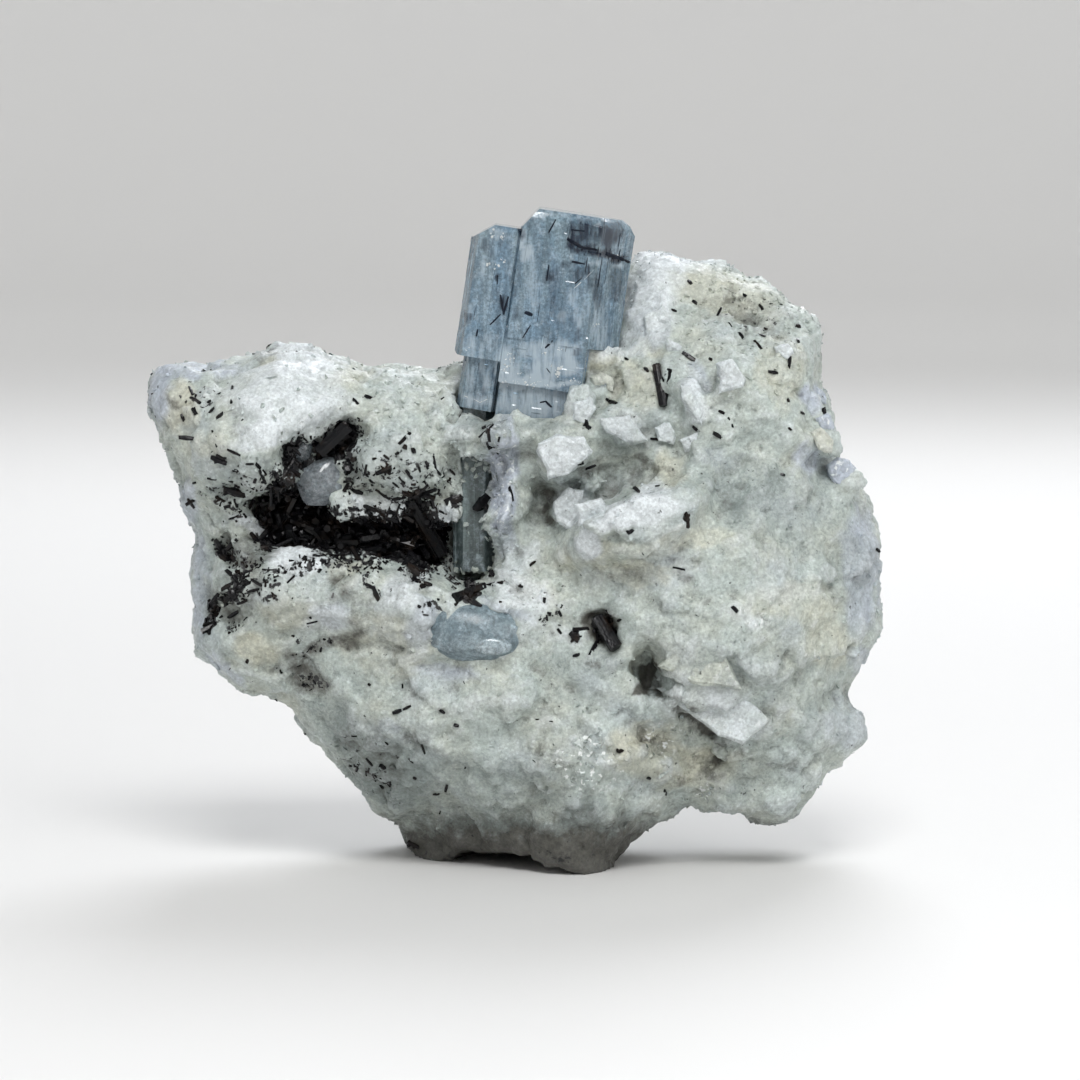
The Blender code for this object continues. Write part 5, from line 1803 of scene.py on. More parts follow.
@dataclass
class SchorlNeedles:
    """The black needles that lie on the stone: each with its place, and finer ones between."""

    finishes: Finishes
    skin: Skin
    stone: Object
    shapes: Shapes
    rise: float = 0.15
    steep: Pair = (1.2, 0.3)
    thick: float = 0.26
    shards: int = 2
    shard_place: Pair = (0.1, 0.9)
    shard_length: Pair = (0.4, 0.8)
    shard_radius: Pair = (0.4, 0.75)
    specks: Scatter = Scatter("schorl specks", 3.6, (0.12, 0.70), (0.10, 0.34), -0.03, 0.8, 5, "needles")
    jumble: Scatter = Scatter("schorl jumble", 2.2, (0.8, 2.4), (0.20, 0.60), 0.0, 0.9, 9, "jumble")
    strays: Scatter = Scatter("stray needles", 0.030, (0.15, 0.62), (0.09, 0.26), 0.0, 0.5, 13, "strays")

    def build(self) -> Object:
        """Makes the needles and joins them in one piece.

        Returns:
            The piece.
        """
        chance = random.Random(3)
        rods = [self.rod(needle, chance) for needle in NEEDLES]
        scattered = [
            layer.mesh(self.stone.data, self.shapes.prisms, self.finishes.schorl)
            for layer in (self.specks, self.jumble, self.strays)
        ]
        mesh = joined("schorl_needles", rods + scattered)
        return finished("schorl_needles", mesh, self.finishes.schorl, Slot.SCHORL)

    def rod(self, needle: tuple[float, ...], chance: random.Random) -> Mesh:
        """A needle between two places of the front view, with shards across it where it is thick.

        Args:
            needle: Across and up at its start and at its end, and half its thickness.
            chance: Draws for its form and its shards.

        Returns:
            Its mesh.
        """
        u1, v1, u2, v2, radius = needle
        start, end = self.skin.at(u1, v1)[0], self.skin.at(u2, v2)[0]
        length = math.hypot(u2 - u1, v2 - v1)
        if abs(end.y - start.y) > self.steep[0] * length + self.steep[1]:
            nearer = min(start.y, end.y)
            start, end = Vector((start.x, nearer, start.z)), Vector((end.x, nearer, end.z))
        lift = VIEW.axes()[2] * radius * self.rise
        work = bmesh.new()
        add_rod(work, start + lift, end + lift, radius, chance)
        for _ in range(self.shards if radius >= self.thick else 0):
            middle = start.lerp(end, chance.uniform(*self.shard_place))
            heading = Vector((chance.uniform(-1, 1), chance.uniform(-0.3, 0.3), chance.uniform(-1, 1)))
            half = heading.normalized() * chance.uniform(*self.shard_length) * max(length, 4 * radius) / 2
            add_rod(work, middle - half, middle + half, radius * chance.uniform(*self.shard_radius), chance)
        return mesh_of(work, "rod")


@dataclass
class SchorlCrust:
    """The black crust in the hollow: a rough bed with stubby prisms all over it."""

    finishes: Finishes
    shapes: Shapes
    voxel: float = 0.25
    rough: Pair = (0.30, 0.8)
    prisms: Scatter = Scatter("crust prisms", 1.5, (1.2, 3.0), (0.30, 0.85), 0.6, 1.45, 21, "cover")

    def build(self) -> Object:
        """Makes the bed and its prisms as one piece.

        Returns:
            The piece.
        """
        bed = remeshed(merged_copy("schorl_crust"), self.voxel)
        points, normals = read_points(bed), read_normals(bed)
        rise = waves(points, self.rough[1]) * self.rough[0]
        low, high = points.min(axis=0), points.max(axis=0)
        write_points(bed, np.clip(points + normals * rise[:, None], low, high))
        store(bed, "cover", faces_front(normals))
        prisms = self.prisms.mesh(bed, self.shapes.prisms, self.finishes.schorl)
        mesh = joined("schorl_crust_prisms", [bed, prisms])
        return finished("schorl_crust_prisms", mesh, self.finishes.schorl, Slot.SCHORL, "schorl_crust")


# ---------------------------------------------------------------- ridged prisms

@dataclass(frozen=True)
class Prism:
    """A ridged prism: its section across and in depth, and its ends along the axis."""

    name: str
    section: tuple[Pair, ...]
    bottom: float
    top: float
    bevel: float


@dataclass(frozen=True)
class Ridging:
    """How the faces of a prism are ridged along its length."""

    width: Pair = (0.20, 0.95)
    depth: float = 0.13
    groove: float = 0.012
    corner: float = 0.10
    steps: int = 8
    step_height: float = 0.10
    inner_ends: Pair = (0.6, 1.6)
    row: float = 0.4
    step_place: Pair = (0.1, 0.8)
    changed: int = 6
    shoulder: Pair = (0.35, 0.45)

    def points(self, prism: Prism, chance: random.Random) -> list[tuple[Vector, Vector, int]]:
        """The section's points with its ridges.

        Args:
            prism: Whose section.
            chance: Draws for the ridges' widths.

        Returns:
            For each point its place, its inward direction and the number of its ridge.
        """
        corners = [Vector(corner) for corner in prism.section]
        centre = sum(corners, Vector((0.0, 0.0))) / len(corners)
        points, ridge = [], 0
        for start, end in zip(corners, corners[1:] + corners[:1]):
            side = end - start
            inward = Vector((-side.y, side.x)).normalized()
            if inward.dot(centre - start) < 0:
                inward = -inward
            place, last = self.corner, side.length - self.corner
            while place < last - self.groove * 3:
                width = min(chance.uniform(*self.width), last - place)
                for along in (place + self.groove, place + width - self.groove):
                    points.append((start + side.normalized() * along, inward, ridge))
                place += width
                ridge += 1
        return points

    def mesh(self, prism: Prism, seed: int, place: Matrix) -> Mesh:
        """A prism whose ridges step in and out at heights of their own.

        Args:
            prism: Its sizes.
            seed: For its draws.
            place: Where its axis foot stands and how it leans.

        Returns:
            Its mesh.
        """
        chance = random.Random(seed)
        points = self.points(prism, chance)
        count = points[-1][2] + 1
        depths = [chance.uniform(0.0, self.depth) for _ in range(count)]
        low, high = prism.bottom + self.inner_ends[0], prism.top - self.inner_ends[1]
        spread = max(high - low, 0.1)
        rows = [(prism.bottom, 0.0, list(depths))]
        for number in range(self.steps):
            level = low + spread * (number + chance.uniform(*self.step_place)) / self.steps
            rows.append((level, 0.0, list(depths)))
            for ridge in chance.sample(range(count), max(count // self.changed, 1)):
                depths[ridge] = chance.uniform(0.0, self.depth)
            rows.append((level + self.step_height, 0.0, list(depths)))
        rows += [(prism.top - prism.bevel, 0.0, list(depths)),
                 (prism.top - self.shoulder[0] * prism.bevel, self.shoulder[1] * prism.bevel, list(depths)),
                 (prism.top, prism.bevel, [0.0] * count)]
        centre = sum((where for where, _, _ in points), Vector((0.0, 0.0))) / len(points)
        work = bmesh.new()
        rings = []
        for height, inset, inward in self.filled(rows):
            ring = []
            for where, direction, ridge in points:
                moved = where + direction * inward[ridge] + (centre - where).normalized() * inset
                ring.append(work.verts.new((moved.x, moved.y, height)))
            rings.append(ring)
        bridged(work, rings)
        for ring, height in ((rings[0], prism.bottom), (rings[-1], prism.top)):
            tip = work.verts.new((centre.x, centre.y, height))
            for side in range(len(points)):
                work.faces.new((ring[side], ring[(side + 1) % len(points)], tip))
        bmesh.ops.transform(work, matrix=place, verts=work.verts)
        return mesh_of(work, prism.name)

    def filled(self, rows: list[tuple[float, float, list[float]]]) -> list[tuple[float, float, list[float]]]:
        """The same rows with others between them, none further apart than the finish needs.

        Args:
            rows: Height, inset and the ridges' depths of each row.

        Returns:
            All the rows from the bottom up.
        """
        full = [rows[0]]
        for lower, upper in zip(rows, rows[1:]):
            parts = max(int((upper[0] - lower[0]) / self.row), 1)
            for part in range(1, parts + 1):
                share = part / parts
                depths = [low + (high - low) * share for low, high in zip(lower[2], upper[2])]
                full.append((lower[0] + (upper[0] - lower[0]) * share,
                             lower[1] + (upper[1] - lower[1]) * share, depths))
        return full


@dataclass
class SchorlPrisms:
    """The five single black prisms, ridged along their length."""

    finishes: Finishes
    nodes: tuple[str, ...] = (
        "schorl_big_prism", "schorl_upper_prism", "schorl_needle", "schorl_low_prism", "schorl_side_prism",
    )
    ridging: Ridging = Ridging((0.10, 0.34), 0.06, 0.008, 0.03, 5, 0.06, (0.3, 0.5), 3.0)
    sides: tuple[float, ...] = (1.0, 0.82, 1.0, 0.84, 1.0, 0.86)

    def build(self) -> None:
        """Makes each prism where its CAD node stands."""
        for number, node in enumerate(self.nodes):
            mesh = self.prism(node, number)
            finished(f"{node}_ridged", mesh, self.finishes.schorl, Slot.SCHORL, node)

    def prism(self, node: str, number: int) -> Mesh:
        """A ridged prism along the node's own axis and as thick as the node.

        Args:
            node: The CAD node.
            number: Which of them, for its draws.

        Returns:
            Its mesh.
        """
        points = read_points(merged_copy(node))
        middle = (points.min(axis=0) + points.max(axis=0)) / 2
        _, _, axes = np.linalg.svd(points - points.mean(axis=0))
        along = Vector(axes[0])
        reach = (points - middle) @ axes[0]
        radius = np.linalg.norm(points - middle - np.outer(reach, axes[0]), axis=1).max()
        section = tuple(
            (share * radius * math.cos(side * math.pi / 3), share * radius * math.sin(side * math.pi / 3))
            for side, share in enumerate(self.sides)
        )
        half = float(np.abs(reach).max())
        turn = along.to_track_quat("Z", "Y").to_matrix().to_4x4()
        prism = Prism(node, section, -half, half, 0.25 * float(radius))
        return self.ridging.mesh(prism, 70 + number, Matrix.Translation(Vector(middle)) @ turn)


# ---------------------------------------------------------------- aquamarine

PRISMS = (
    Prism("main", (
        (-4.2, -5.0), (2.9, -5.0), (6.0, -0.4), (3.0, 4.4), (-3.2, 4.4), (-4.4, 1.0),
    ), 7.8, 19.5, 0.8),
    Prism("main, lower part", (
        (-4.4, -4.95), (3.2, -4.95), (3.7, -0.5), (2.6, 4.2), (-4.2, 4.2),
    ), 3.8, 9.0, 0.3),
    Prism("foot", ((-4.2, -4.3), (2.5, -4.3), (2.9, -0.6), (2.0, 4.0), (-4.0, 4.0)), -1.6, 5.0, 0.15),
    Prism("left", (
        (-8.6, -2.4), (-8.0, -4.4), (-4.35, -5.3), (-3.6, -3.0), (-4.0, 1.8), (-7.4, 1.4),
    ), 5.6, 17.5, 0.5),
    Prism("left, lower part", (
        (-7.7, -2.2), (-7.2, -3.7), (-4.5, -4.5), (-4.0, -2.2), (-4.4, 1.0), (-7.1, 0.8),
    ), 1.0, 7.0, 0.15),
)
AXIS_FOOT = (2.13, -4.94, 39.7)
AXIS_LEAN = 8.5
STEM = Prism("stem", ((2.0, 0.0), (1.0, 1.73), (-1.0, 1.73), (-2.0, 0.0), (-1.0, -1.73), (1.0, -1.73)),
             0.0, 15.4, 0.2)
STEM_FOOT = (-3.67, -6.64, 27.0)
# The bands of crumbs on the stem: how dense, from where to where they begin, and where they end.
STEM_BANDS = ((1.0, 35.0, 36.2, 40.6, 39.6), (0.35, 29.8, 30.6, 32.2, 31.4), (1.0, 20.0, 21.0, 27.4, 26.6))

CORNER_CUTS = (
    ("main", (0.75, 58.0), (2.2, 59.5)), ("left", (-4.15, 56.7), (-1.2, 58.3)),
    ("main", (9.9, 58.4), (10.8, 56.6)), ("main", (8.9, 58.9), (10.5, 57.5)),
    ("left", (-5.7, 47.2), (-5.0, 46.1)),
)

MILKY_PATCHES = patches(
    (-0.9, 44.8, 0.9, 2.2, 6, 1.0), (1.0, 43.6, 1.2, 0.5, 0, 1.3), (2.0, 43.3, 4.4, 0.25, 0, 1.4),
    (4.7, 44.9, 0.9, 0.9, 0, 1.0), (2.4, 44.4, 1.4, 1.2, 0, 1.0), (2.0, 41.4, 4.2, 1.5, 0, 0.7),
    (3.0, 46.4, 2.8, 0.9, 0, 0.8), (7.6, 48.6, 1.0, 2.6, 8, 0.4), (-3.2, 47.0, 1.6, 0.8, 0, 0.4),
    (6.4, 58.5, 4.2, 0.5, -8, 0.3), (2.0, 58.7, 1.4, 0.7, 20, 0.3), (-1.6, 57.0, 0.9, 0.5, -20, 0.9),
    (0.6, 56.0, 0.3, 1.2, 6, 1.3), (7.2, 54.4, 0.6, 0.3, 0, 0.7), (9.3, 54.1, 0.6, 0.25, 0, 0.8),
    (-2.9, 44.0, 0.25, 2.0, 6, 0.6), (-4.2, 44.0, 0.3, 2.0, 6, 0.4), (-3.2, 54.6, 0.4, 2.6, 6, 0.35),
    (1.6, 52.6, 0.6, 4.0, 8, 0.25), (5.4, 50.0, 0.3, 3.6, 8, 0.35), (-4.6, 50.6, 0.3, 4.4, 8, 0.4),
    (4.2, 48.6, 0.2, 1.6, 8, 0.6), (-3.4, 41.9, 1.6, 0.3, -8, 0.9), (-3.4, 43.8, 2.4, 2.8, 6, 0.12),
)

DARK_PATCHES = patches(
    (0.35, 57.3, 0.22, 0.9, 6, 1.3), (6.8, 57.0, 2.6, 1.1, -8, 0.8), (9.0, 57.2, 0.9, 0.9, 0, 0.5),
    (6.0, 55.6, 1.6, 0.35, -8, 1.1), (8.6, 54.9, 1.6, 0.35, -8, 1.4), (5.8, 53.3, 1.1, 0.5, 36, 0.8),
    (9.1, 52.4, 0.8, 1.9, 8, 0.6), (7.3, 52.0, 0.5, 2.4, 8, 0.6), (2.9, 53.4, 0.15, 0.8, 8, 0.8),
    (3.3, 57.4, 0.3, 0.7, 8, 1.1), (-1.75, 52.8, 0.15, 0.5, 8, 1.2), (-1.15, 50.6, 0.4, 0.8, 0, 1.3),
    (0.0, 50.0, 0.2, 5.0, 8, 0.5), (4.6, 54.2, 0.5, 0.4, 0, 0.5), (3.8, 51.0, 1.0, 4.0, 8, 0.30),
    (-3.2, 43.6, 0.3, 1.6, 8, 0.5), (-2.0, 43.6, 0.2, 2.0, 8, 0.5), (5.6, 47.0, 0.25, 2.6, 8, 0.5),
    (-3.9, 52.0, 0.2, 2.4, 8, 0.4), (-2.6, 55.6, 0.2, 1.4, 8, 0.6), (-4.4, 49.0, 0.15, 1.0, 16, 0.8),
    (8.4, 55.8, 0.3, 1.2, 0, 0.8), (5.2, 56.2, 0.4, 0.5, 0, 0.9),
)

EDGE_LINES = (
    ((-4.7, 42.2), (-3.8, 41.9), (-3.3, 41.6), (-2.6, 41.9), (-1.9, 41.9)),
    ((5.3, 52.0), (6.2, 52.8), (7.1, 53.7)),
)

FACE_GRAINS = (
    (-2.1, 57.0, 0.34), (-1.7, 56.6, 0.30), (-1.1, 56.6, 0.24), (-2.4, 54.3, 0.24), (-1.5, 54.1, 0.38),
    (-1.2, 54.5, 0.24), (0.6, 43.5, 0.34), (1.2, 43.4, 0.28), (4.6, 44.7, 0.55), (7.2, 48.7, 0.22),
    (9.2, 55.0, 0.18), (3.6, 44.1, 0.22), (-0.6, 45.6, 0.26), (-1.0, 44.4, 0.24), (4.0, 46.4, 0.16),
    (2.6, 46.2, 0.2), (-4.4, 46.4, 0.2), (5.2, 43.6, 0.2), (-1.3, 43.4, 0.16), (-0.7, 43.3, 0.24),
    (-0.1, 43.5, 0.18), (1.7, 43.25, 0.26), (2.1, 43.5, 0.16), (2.7, 43.2, 0.13), (4.3, 43.2, 0.16),
    (5.7, 43.4, 0.12), (-0.9, 44.9, 0.30), (-0.5, 45.3, 0.22), (-0.8, 46.0, 0.18), (0.2, 44.3, 0.16),
)


@dataclass
class Aquamarine:
    """The blue prisms, ridged, stepped and grown into each other, and the teal stem below."""

    finishes: Finishes
    shapes: Shapes
    ridging: Ridging = Ridging()
    sway: Pair = (0.12, 0.35)
    side: Pair = (0.9, 1.7)
    side_crumbs: float = 0.35
    crumbs: Scatter = Scatter("crumbs on the stem", 3.2, (0.35, 0.9), (0.5, 0.95), 0.0, math.pi, 44, "cover")

    def build(self) -> tuple[Object, Object]:
        """Makes the prisms in one clear body, and the stem.

        Returns:
            The prisms and the stem.
        """
        place = Matrix.Translation(AXIS_FOOT) @ Matrix.Rotation(math.radians(AXIS_LEAN), 4, "Y")
        meshes = [self.ridging.mesh(prism, 40 + number, place) for number, prism in enumerate(PRISMS)]
        for name, start, end in CORNER_CUTS:
            for mesh in meshes:
                if mesh.name == name:
                    self.cut_corner(mesh, start, end)
        whole = combined(meshes[0], meshes[1:], "UNION")
        self.write_looks(whole)
        prisms = finished("aquamarine_prisms", whole, self.finishes.aquamarine, Slot.AQUAMARINE,
                          "aquamarine_cluster")
        stem = self.ridging.mesh(STEM, 60, Matrix.Translation(STEM_FOOT))
        self.write_cover(stem)
        crumbs = self.crumbs.mesh(stem, self.shapes.chips, self.finishes.albite)
        finished("crumbs_on_stem", crumbs, self.finishes.albite, Slot.ALBITE)
        return prisms, finished("teal_stem", stem, self.finishes.teal, Slot.AQUAMARINE)

    def write_cover(self, stem: Mesh) -> None:
        """Stores where stone crumbs stick to the stem: along its sides and where the stone crosses it.

        Args:
            stem: The stem's mesh.
        """
        points, normals = read_points(stem), read_normals(stem)
        ragged = np.abs(points[:, 0] - STEM_FOOT[0]) + 0.5 * waves(points, 0.9)
        cover = self.side_crumbs * smooth_step(*self.side, ragged)
        for dense, begin, full, fading, end in STEM_BANDS:
            height = points[:, 2]
            cover = cover + dense * smooth_step(begin, full, height) * smooth_step(fading, end, height)
        store(stem, "cover", np.clip(cover, 0.0, 1.0) * faces_front(normals))

    def cut_corner(self, mesh: Mesh, start: Pair, end: Pair) -> None:
        """Takes off what lies outside a line of the front view, straight back.

        Args:
            mesh: One prism, which is changed.
            start: A place on the line.
            end: Another, further on round the outline.
        """
        work = bmesh.new()
        work.from_mesh(mesh)
        seat = Vector(AXIS_FOOT)
        place, other = (Vector((u, seat.y, v)) for u, v in (start, end))
        outward = (other - place).cross(Vector((0.0, 1.0, 0.0)))
        middle = sum((corner.co for corner in work.verts), Vector()) / len(work.verts) / MM
        if outward.dot(middle - place) > 0:
            outward = -outward
        cut = bmesh.ops.bisect_plane(
            work, geom=work.verts[:] + work.edges[:] + work.faces[:], plane_co=place * MM,
            plane_no=outward.normalized(), clear_outer=True,
        )
        rim = [item for item in cut["geom_cut"] if isinstance(item, BMEdge)]
        bmesh.ops.contextual_create(work, geom=rim)
        bmesh.ops.recalc_face_normals(work, faces=work.faces)
        work.to_mesh(mesh)
        work.free()

    def write_looks(self, mesh: Mesh) -> None:
        """Stores where the prisms are milky and where they are dark.

        Args:
            mesh: The prisms' mesh.
        """
        points = read_points(mesh)
        wobble = wander(points / np.array((0.5, 1.0, 1.6)), 1.0)
        u, v = VIEW.seen(points)
        u, v = u + self.sway[0] * wobble[:, 0], v + self.sway[1] * wobble[:, 2]
        for name, ovals in (("milky", MILKY_PATCHES), ("dark", DARK_PATCHES)):
            store(mesh, name, sum(patch.strength(u, v) for patch in ovals))


INNER_NEEDLES = (
    (5, 57.3, 6.2, 57.2, 0.1), (3.6, 58.2, 3, 57.1, 0.15), (3, 54.1, 2.8, 52.7, 0.1),
    (-1.7, 53.1, -1.7, 52.4, 0.1), (-2.3, 48.7, -1.4, 49.6, 0.125), (-1.4, 51.3, -1.1, 49.7, 0.175),
    (-0.7, 51.2, -1.1, 49.7, 0.15), (-4.8, 48.5, -4.3, 49.8, 0.06), (-4.3, 48.5, -3.8, 49.9, 0.06),
    (-3.6, 47.7, -3.5, 48.2, 0.11), (0.9, 49.8, 1.4, 49.6, 0.2), (1.4, 49.6, 2.2, 48.6, 0.06),
    (0.6, 47.5, 1.3, 48.6, 0.13), (2.7, 46.6, 3.3, 47.2, 0.18), (2.8, 44.7, 3.1, 44.3, 0.1),
    (2.2, 41.6, 2.7, 41.7, 0.1), (2.7, 41.7, 3.2, 41.2, 0.125), (4.7, 56.5, 5.3, 56.1, 0.25),
    (5.1, 56.2, 6.2, 55.6, 0.2), (6, 55.7, 7.3, 55.5, 0.2), (7.1, 55.6, 8.4, 55.1, 0.225),
    (8.2, 55.1, 9.3, 54.7, 0.25), (9.1, 54.9, 10.2, 54.4, 0.225), (5.1, 54.4, 6.2, 54.2, 0.15),
    (6.7, 53.5, 4.6, 51.8, 0.10),
)


@dataclass(frozen=True)
class Streaks:
    """Thin lines along the prisms inside part of them."""

    u: Pair
    v: Pair
    count: int
    length: Pair
    radius: Pair


DARK_STREAKS = (
    Streaks((4.6, 10.0), (54.6, 57.6), 60, (0.3, 1.6), (0.02, 0.06)),
    Streaks((4.8, 9.8), (54.6, 55.6), 40, (0.1, 0.5), (0.05, 0.14)),
    Streaks((7.0, 10.2), (49.5, 55.5), 44, (0.6, 2.8), (0.02, 0.06)),
    Streaks((4.4, 7.6), (51.6, 54.6), 26, (0.3, 1.4), (0.03, 0.08)),
    Streaks((-4.6, -1.2), (48.5, 56.4), 30, (0.6, 3.0), (0.015, 0.04)),
    Streaks((0.8, 5.0), (46.0, 57.8), 40, (0.4, 2.4), (0.015, 0.045)),
)
MILKY_STREAKS = (
    Streaks((-1.6, 2.0), (43.2, 46.8), 5, (0.3, 0.9), (0.02, 0.05)),
    Streaks((-4.6, 6.0), (46.0, 57.0), 24, (0.8, 3.6), (0.02, 0.05)),
    Streaks((-1.8, 5.6), (39.8, 43.0), 4, (0.3, 0.9), (0.02, 0.04)),
)


@dataclass
class Inclusions:
    """What the clear prisms hold: dark needles and dark and milky streaks."""

    finishes: Finishes
    skin: Skin
    needle_depth: Pair = (-0.02, 0.10)
    slim: float = 0.85
    streak_depth: Pair = (-0.02, 0.5)
    line: Pair = (0.03, 0.06)
    line_depth: float = 0.02
    line_step: float = 0.8
    grain: Triple = (1.0, 0.8, 0.9)
    grain_depth: float = 0.4
    scatter: Pair = (0.8, 0.6)
    shrink: Pair = (0.25, 0.75)
    cluster: int = 5

    def marks(self) -> Mesh:
        """White lines along the edges of the faces, and white grains grown on them.

        Returns:
            One mesh with all of them.
        """
        chance = random.Random(9)
        work = bmesh.new()
        for line in EDGE_LINES:
            for start, end in zip(line, line[1:]):
                ends = [self.inner(*place, self.line_depth) for place in (start, end)]
                if abs(ends[0].y - ends[1].y) < self.line_step:
                    add_rod(work, *ends, chance.uniform(*self.line), chance)
        for u, v, reach in FACE_GRAINS:
            for _ in range(self.cluster):
                size = reach * chance.uniform(*self.shrink)
                shape = Shapes.chip(chance.randrange(1000), self.grain)
                turn = Euler([chance.uniform(-3, 3) for _ in range(3)]).to_matrix().to_4x4()
                across, up = (chance.gauss(0, share * reach) for share in self.scatter)
                place = self.inner(u + across, v + up, self.grain_depth * size)
                shape.transform(Matrix.Translation(place) @ turn @ Matrix.Scale(2 * size, 4))
                work.from_mesh(shape)
        return mesh_of(work, "face marks")

    def build(self) -> None:
        """Makes the dark things as one piece and the milky ones as another."""
        chance = random.Random(8)
        work = bmesh.new()
        for u1, v1, u2, v2, radius in INNER_NEEDLES:
            depth = chance.uniform(*self.needle_depth)
            add_rod(work, self.inner(u1, v1, depth), self.inner(u2, v2, depth), self.slim * radius, chance)
        self.add_streaks(work, DARK_STREAKS, chance)
        finished("dark_inclusions", mesh_of(work, "dark inclusions"), self.finishes.shade, Slot.SCHORL)
        work = bmesh.new()
        self.add_streaks(work, MILKY_STREAKS, chance)
        finished("milky_inclusions", mesh_of(work, "milky inclusions"), self.finishes.veil, Slot.AQUAMARINE)
        finished("white_face_grains", self.marks(), self.finishes.crumb, Slot.ALBITE)

    def inner(self, u: float, v: float, depth: float) -> Vector:
        """The place that far behind what shows at (u, v)."""
        return self.skin.at(u, v)[0] + VIEW.ray(u, v) * depth

    def add_streaks(self, work: BMesh, groups: tuple[Streaks, ...], chance: random.Random) -> None:
        """Adds the lines of each group along the prisms' own axis.

        Args:
            work: The mesh under construction.
            groups: The groups.
            chance: Draws for their places and sizes.
        """
        lean = math.radians(AXIS_LEAN)
        axis = Vector((math.sin(lean), 0.0, math.cos(lean)))
        for group in groups:
            for _ in range(group.count):
                middle = self.inner(chance.uniform(*group.u), chance.uniform(*group.v),
                                    chance.uniform(*self.streak_depth))
                half = axis * chance.uniform(*group.length) / 2
                add_rod(work, middle - half, middle + half, chance.uniform(*group.radius), chance)


# ---------------------------------------------------------------- rounded crystals

@dataclass(frozen=True)
class Lump:
    """A rounded crystal that stands for a CAD node, or sits where it shows at (u, v)."""

    name: str
    node: str
    seat: Pair
    half: Triple
    turn: float
    sink: float
    slot: Slot
    swell: float = 0.12
    growth: Pair = (1.0, 1.0)
    voxel: float = 0.2


LUMPS = (
    Lump("teal_bud", "aquamarine_bud", (0.0, 0.0), (0.0, 0.0, 0.0), 0, 0.7, Slot.AQUAMARINE, 0.05,
         (1.30, 0.96)),
    Lump("bud_lens", "", (-2.2, 19.5), (1.9, 0.5, 0.85), -4, -1.3, Slot.AQUAMARINE, 0.04),
    Lump("grey_grain", "quartz_grain", (-17.6, 34.5), (2.55, 1.6, 2.2), 10, -0.4, Slot.QUARTZ, 0.55),
    Lump("smoky_grain", "", (-19.6, 37.3), (1.1, 1.0, 1.2), 20, 0.2, Slot.QUARTZ, 0.30),
)


@dataclass
class Lumps:
    """The bud, its lens and the glassy grains."""

    finishes: Finishes
    skin: Skin
    rounds: int = 10
    relax: float = 0.6
    wave: float = 2.2

    def build(self) -> None:
        """Makes each of them."""
        looks = {"teal_bud": self.finishes.bud, "bud_lens": self.finishes.lens,
                 "grey_grain": self.finishes.quartz, "smoky_grain": self.finishes.smoky}
        for number, lump in enumerate(LUMPS):
            nodes = (lump.node,) if lump.node else ()
            finished(lump.name, self.lump(lump, number), looks[lump.name], lump.slot, *nodes)

    def lump(self, lump: Lump, number: int) -> Mesh:
        """A rounded crystal with soft swells.

        Args:
            lump: Its sizes.
            number: Which of them, for its swells.

        Returns:
            Its mesh.
        """
        source = self.ball(lump) if any(lump.seat) else merged_copy(lump.node)
        mesh = remeshed(source, lump.voxel)
        points = read_points(mesh)
        low, high = points.min(axis=0), points.max(axis=0)
        edges = point_pairs(mesh)
        for _ in range(self.rounds):
            points = points + self.relax * (neighbour_mean(edges, points) - points)
        middle, reach = (low + high) / 2, (high - low) / 2
        spread = np.abs(points - middle).max(axis=0)
        points = middle + (points - middle) * reach / spread * np.array((lump.growth[0], 1.0, lump.growth[1]))
        points[:, 1] += lump.sink if lump.node else 0.0
        low, high = points.min(axis=0), points.max(axis=0)
        write_points(mesh, points)
        normals = read_normals(mesh)
        swell = waves(points, self.wave, (17.0 * number, 3.0, 0.0))
        write_points(mesh, np.clip(points + normals * (swell * lump.swell)[:, None], low, high))
        mesh.shade_smooth()
        return mesh

    def ball(self, lump: Lump) -> Mesh:
        """An egg shape on the skin, before its swells.

        Args:
            lump: Its sizes.

        Returns:
            Its mesh.
        """
        seat, _ = self.skin.at(*lump.seat)
        work = bmesh.new()
        bmesh.ops.create_icosphere(work, subdivisions=4, radius=1.0)
        turn = Matrix.Rotation(math.radians(-lump.turn), 4, "Y")
        place = Matrix.Translation(seat - VIEW.axes()[2] * lump.sink * lump.half[1])
        bmesh.ops.transform(work, matrix=place @ turn @ Matrix.Diagonal((*lump.half, 1.0)), verts=work.verts)
        return mesh_of(work, lump.name)


# ---------------------------------------------------------------- studio

@dataclass(frozen=True)
class Lamp:
    """A soft square light that looks at its target."""

    name: str
    place: Triple
    size: float
    power: float
    colour: Triple = (1.0, 1.0, 1.0)
    target: Triple = (0.0, 0.0, 0.03)

    def build(self) -> None:
        """Adds the light to the scene."""
        light = bpy.data.lights.new(self.name, "AREA")
        light.shape = "SQUARE"
        light.size = self.size
        light.energy = self.power
        light.color = self.colour
        lamp = bpy.data.objects.new(self.name, light)
        lamp.location = self.place
        aim = Vector(self.target) - Vector(self.place)
        lamp.rotation_euler = aim.to_track_quat("-Z", "Y").to_euler()
        bpy.context.scene.collection.objects.link(lamp)


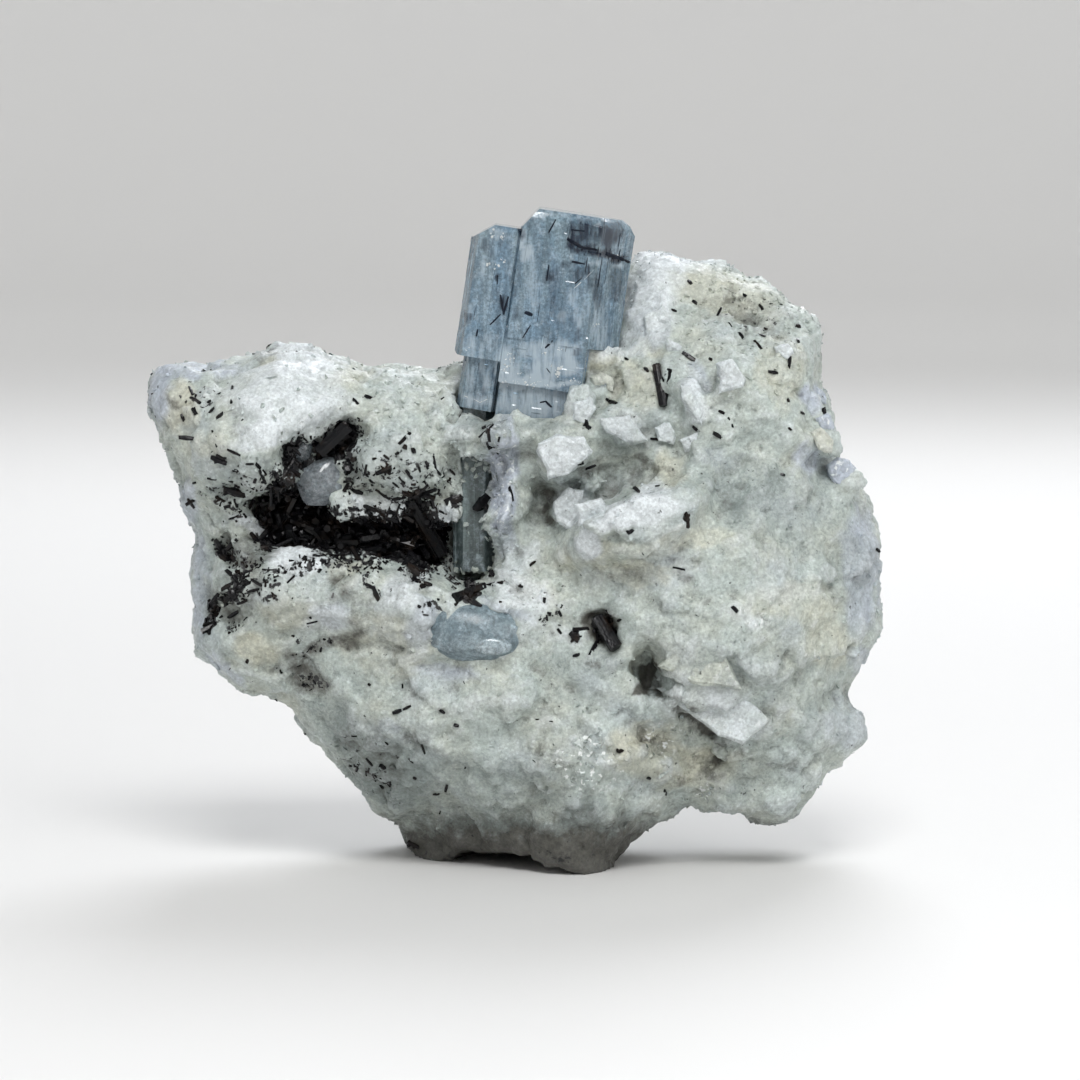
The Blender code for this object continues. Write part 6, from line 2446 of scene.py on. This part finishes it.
@dataclass
class Studio:
    """Floor, lights, surroundings and camera."""

    flat: float = 1.2
    rise: float = 0.4
    wall: float = 1.2
    washers: int = 6
    washer_power: float = 3.8
    washer_size: float = 0.5
    washer_reach: float = 0.7
    washer_height: float = 1.1
    floor_colour: Triple = (0.74, 0.735, 0.725)
    floor_roughness: float = 0.6
    air_colour: Triple = (0.90, 0.95, 1.0)
    air_strength: float = 0.20
    sensor_width: float = 36.0
    clip_start: float = 0.01
    lamps: tuple[Lamp, ...] = (
        Lamp("key", (0.04, -0.44, 0.52), 0.26, 2.75),
        Lamp("fill", (0.50, -0.40, 0.22), 0.35, 0.7),
        Lamp("rim", (0.10, 0.45, 0.42), 0.30, 1.8, (0.94, 0.96, 1.0)),
    )

    def build(self) -> None:
        """Sets up the studio."""
        self.build_floor()
        world = bpy.data.worlds.new("studio air")
        world.use_nodes = True
        air = world.node_tree.nodes["Background"]
        air.inputs["Color"].default_value = (*self.air_colour, 1.0)
        air.inputs["Strength"].default_value = self.air_strength
        bpy.context.scene.world = world
        for lamp in self.lamps:
            lamp.build()
        self.build_washers()
        self.build_camera()
        bpy.context.scene.view_settings.view_transform = "Standard"

    def build_floor(self) -> None:
        """A round pale floor whose rim rises to a backdrop on every side."""
        bends = [math.radians(angle) for angle in range(0, 91, 10)]
        profile = [(0.0, 0.0)] + [
            (self.flat + self.rise * math.sin(bend), self.rise * (1.0 - math.cos(bend))) for bend in bends
        ] + [(self.flat + self.rise, self.wall)]
        work = bmesh.new()
        line = [work.verts.new((reach, 0.0, height)) for reach, height in profile]
        edges = [work.edges.new(pair) for pair in zip(line, line[1:])]
        bmesh.ops.spin(work, geom=line + edges, cent=(0, 0, 0), axis=(0, 0, 1), angle=math.tau, steps=96)
        bmesh.ops.remove_doubles(work, verts=work.verts, dist=MM)
        bmesh.ops.recalc_face_normals(work, faces=work.faces)
        if work.faces[0].normal.z < 0:
            bmesh.ops.reverse_faces(work, faces=work.faces)
        mesh = plain_mesh(work, "floor")
        mesh.shade_smooth()
        floor = new_object("floor", mesh)
        material, sheet, shader = new_material("pale floor")
        sheet.feed(shader, {"Base Color": (*self.floor_colour, 1.0), "Roughness": self.floor_roughness})
        mesh.materials.append(material)

    def build_washers(self) -> None:
        """Lights that face the rim of the floor all round, so that the backdrop is pale."""
        for number in range(self.washers):
            turn = math.tau * (number + 0.5) / self.washers
            outward = Vector((math.cos(turn), math.sin(turn), 0.0))
            place = outward * self.washer_reach + Vector((0.0, 0.0, self.washer_height))
            target = outward * (self.flat + self.rise) + Vector((0.0, 0.0, self.rise))
            Lamp(f"backdrop light {number + 1}", tuple(place), self.washer_size, self.washer_power,
                 target=tuple(target)).build()

    def build_camera(self) -> None:
        """The camera of the front view."""
        data = bpy.data.cameras.new("camera")
        data.lens = VIEW.lens
        data.sensor_width = self.sensor_width
        data.clip_start = self.clip_start
        camera = bpy.data.objects.new("camera", data)
        camera.location = VIEW.eye() * MM
        camera.rotation_euler = (-VIEW.axes()[2]).to_track_quat("-Z", "Y").to_euler()
        bpy.context.scene.collection.objects.link(camera)
        bpy.context.scene.camera = camera


def main() -> None:
    """Builds the specimen piece by piece."""
    logging.basicConfig(level=logging.INFO, format="%(message)s")
    noise.seed_set(NOISE_SEED)
    Studio().build()
    finishes = Finishes()
    stone = Stone(finishes).build()
    shapes = Shapes()
    stone_skin = Skin(stone.data)
    Sugar(finishes, stone, shapes).build()
    AlbiteBlades(finishes, stone_skin).build()
    SchorlNeedles(finishes, stone_skin, stone, shapes).build()
    SchorlCrust(finishes, shapes).build()
    SchorlPrisms(finishes).build()
    prisms, _ = Aquamarine(finishes, shapes).build()
    Inclusions(finishes, Skin(prisms.data)).build()
    Lumps(finishes, stone_skin).build()


if __name__ == "__main__":
    main()
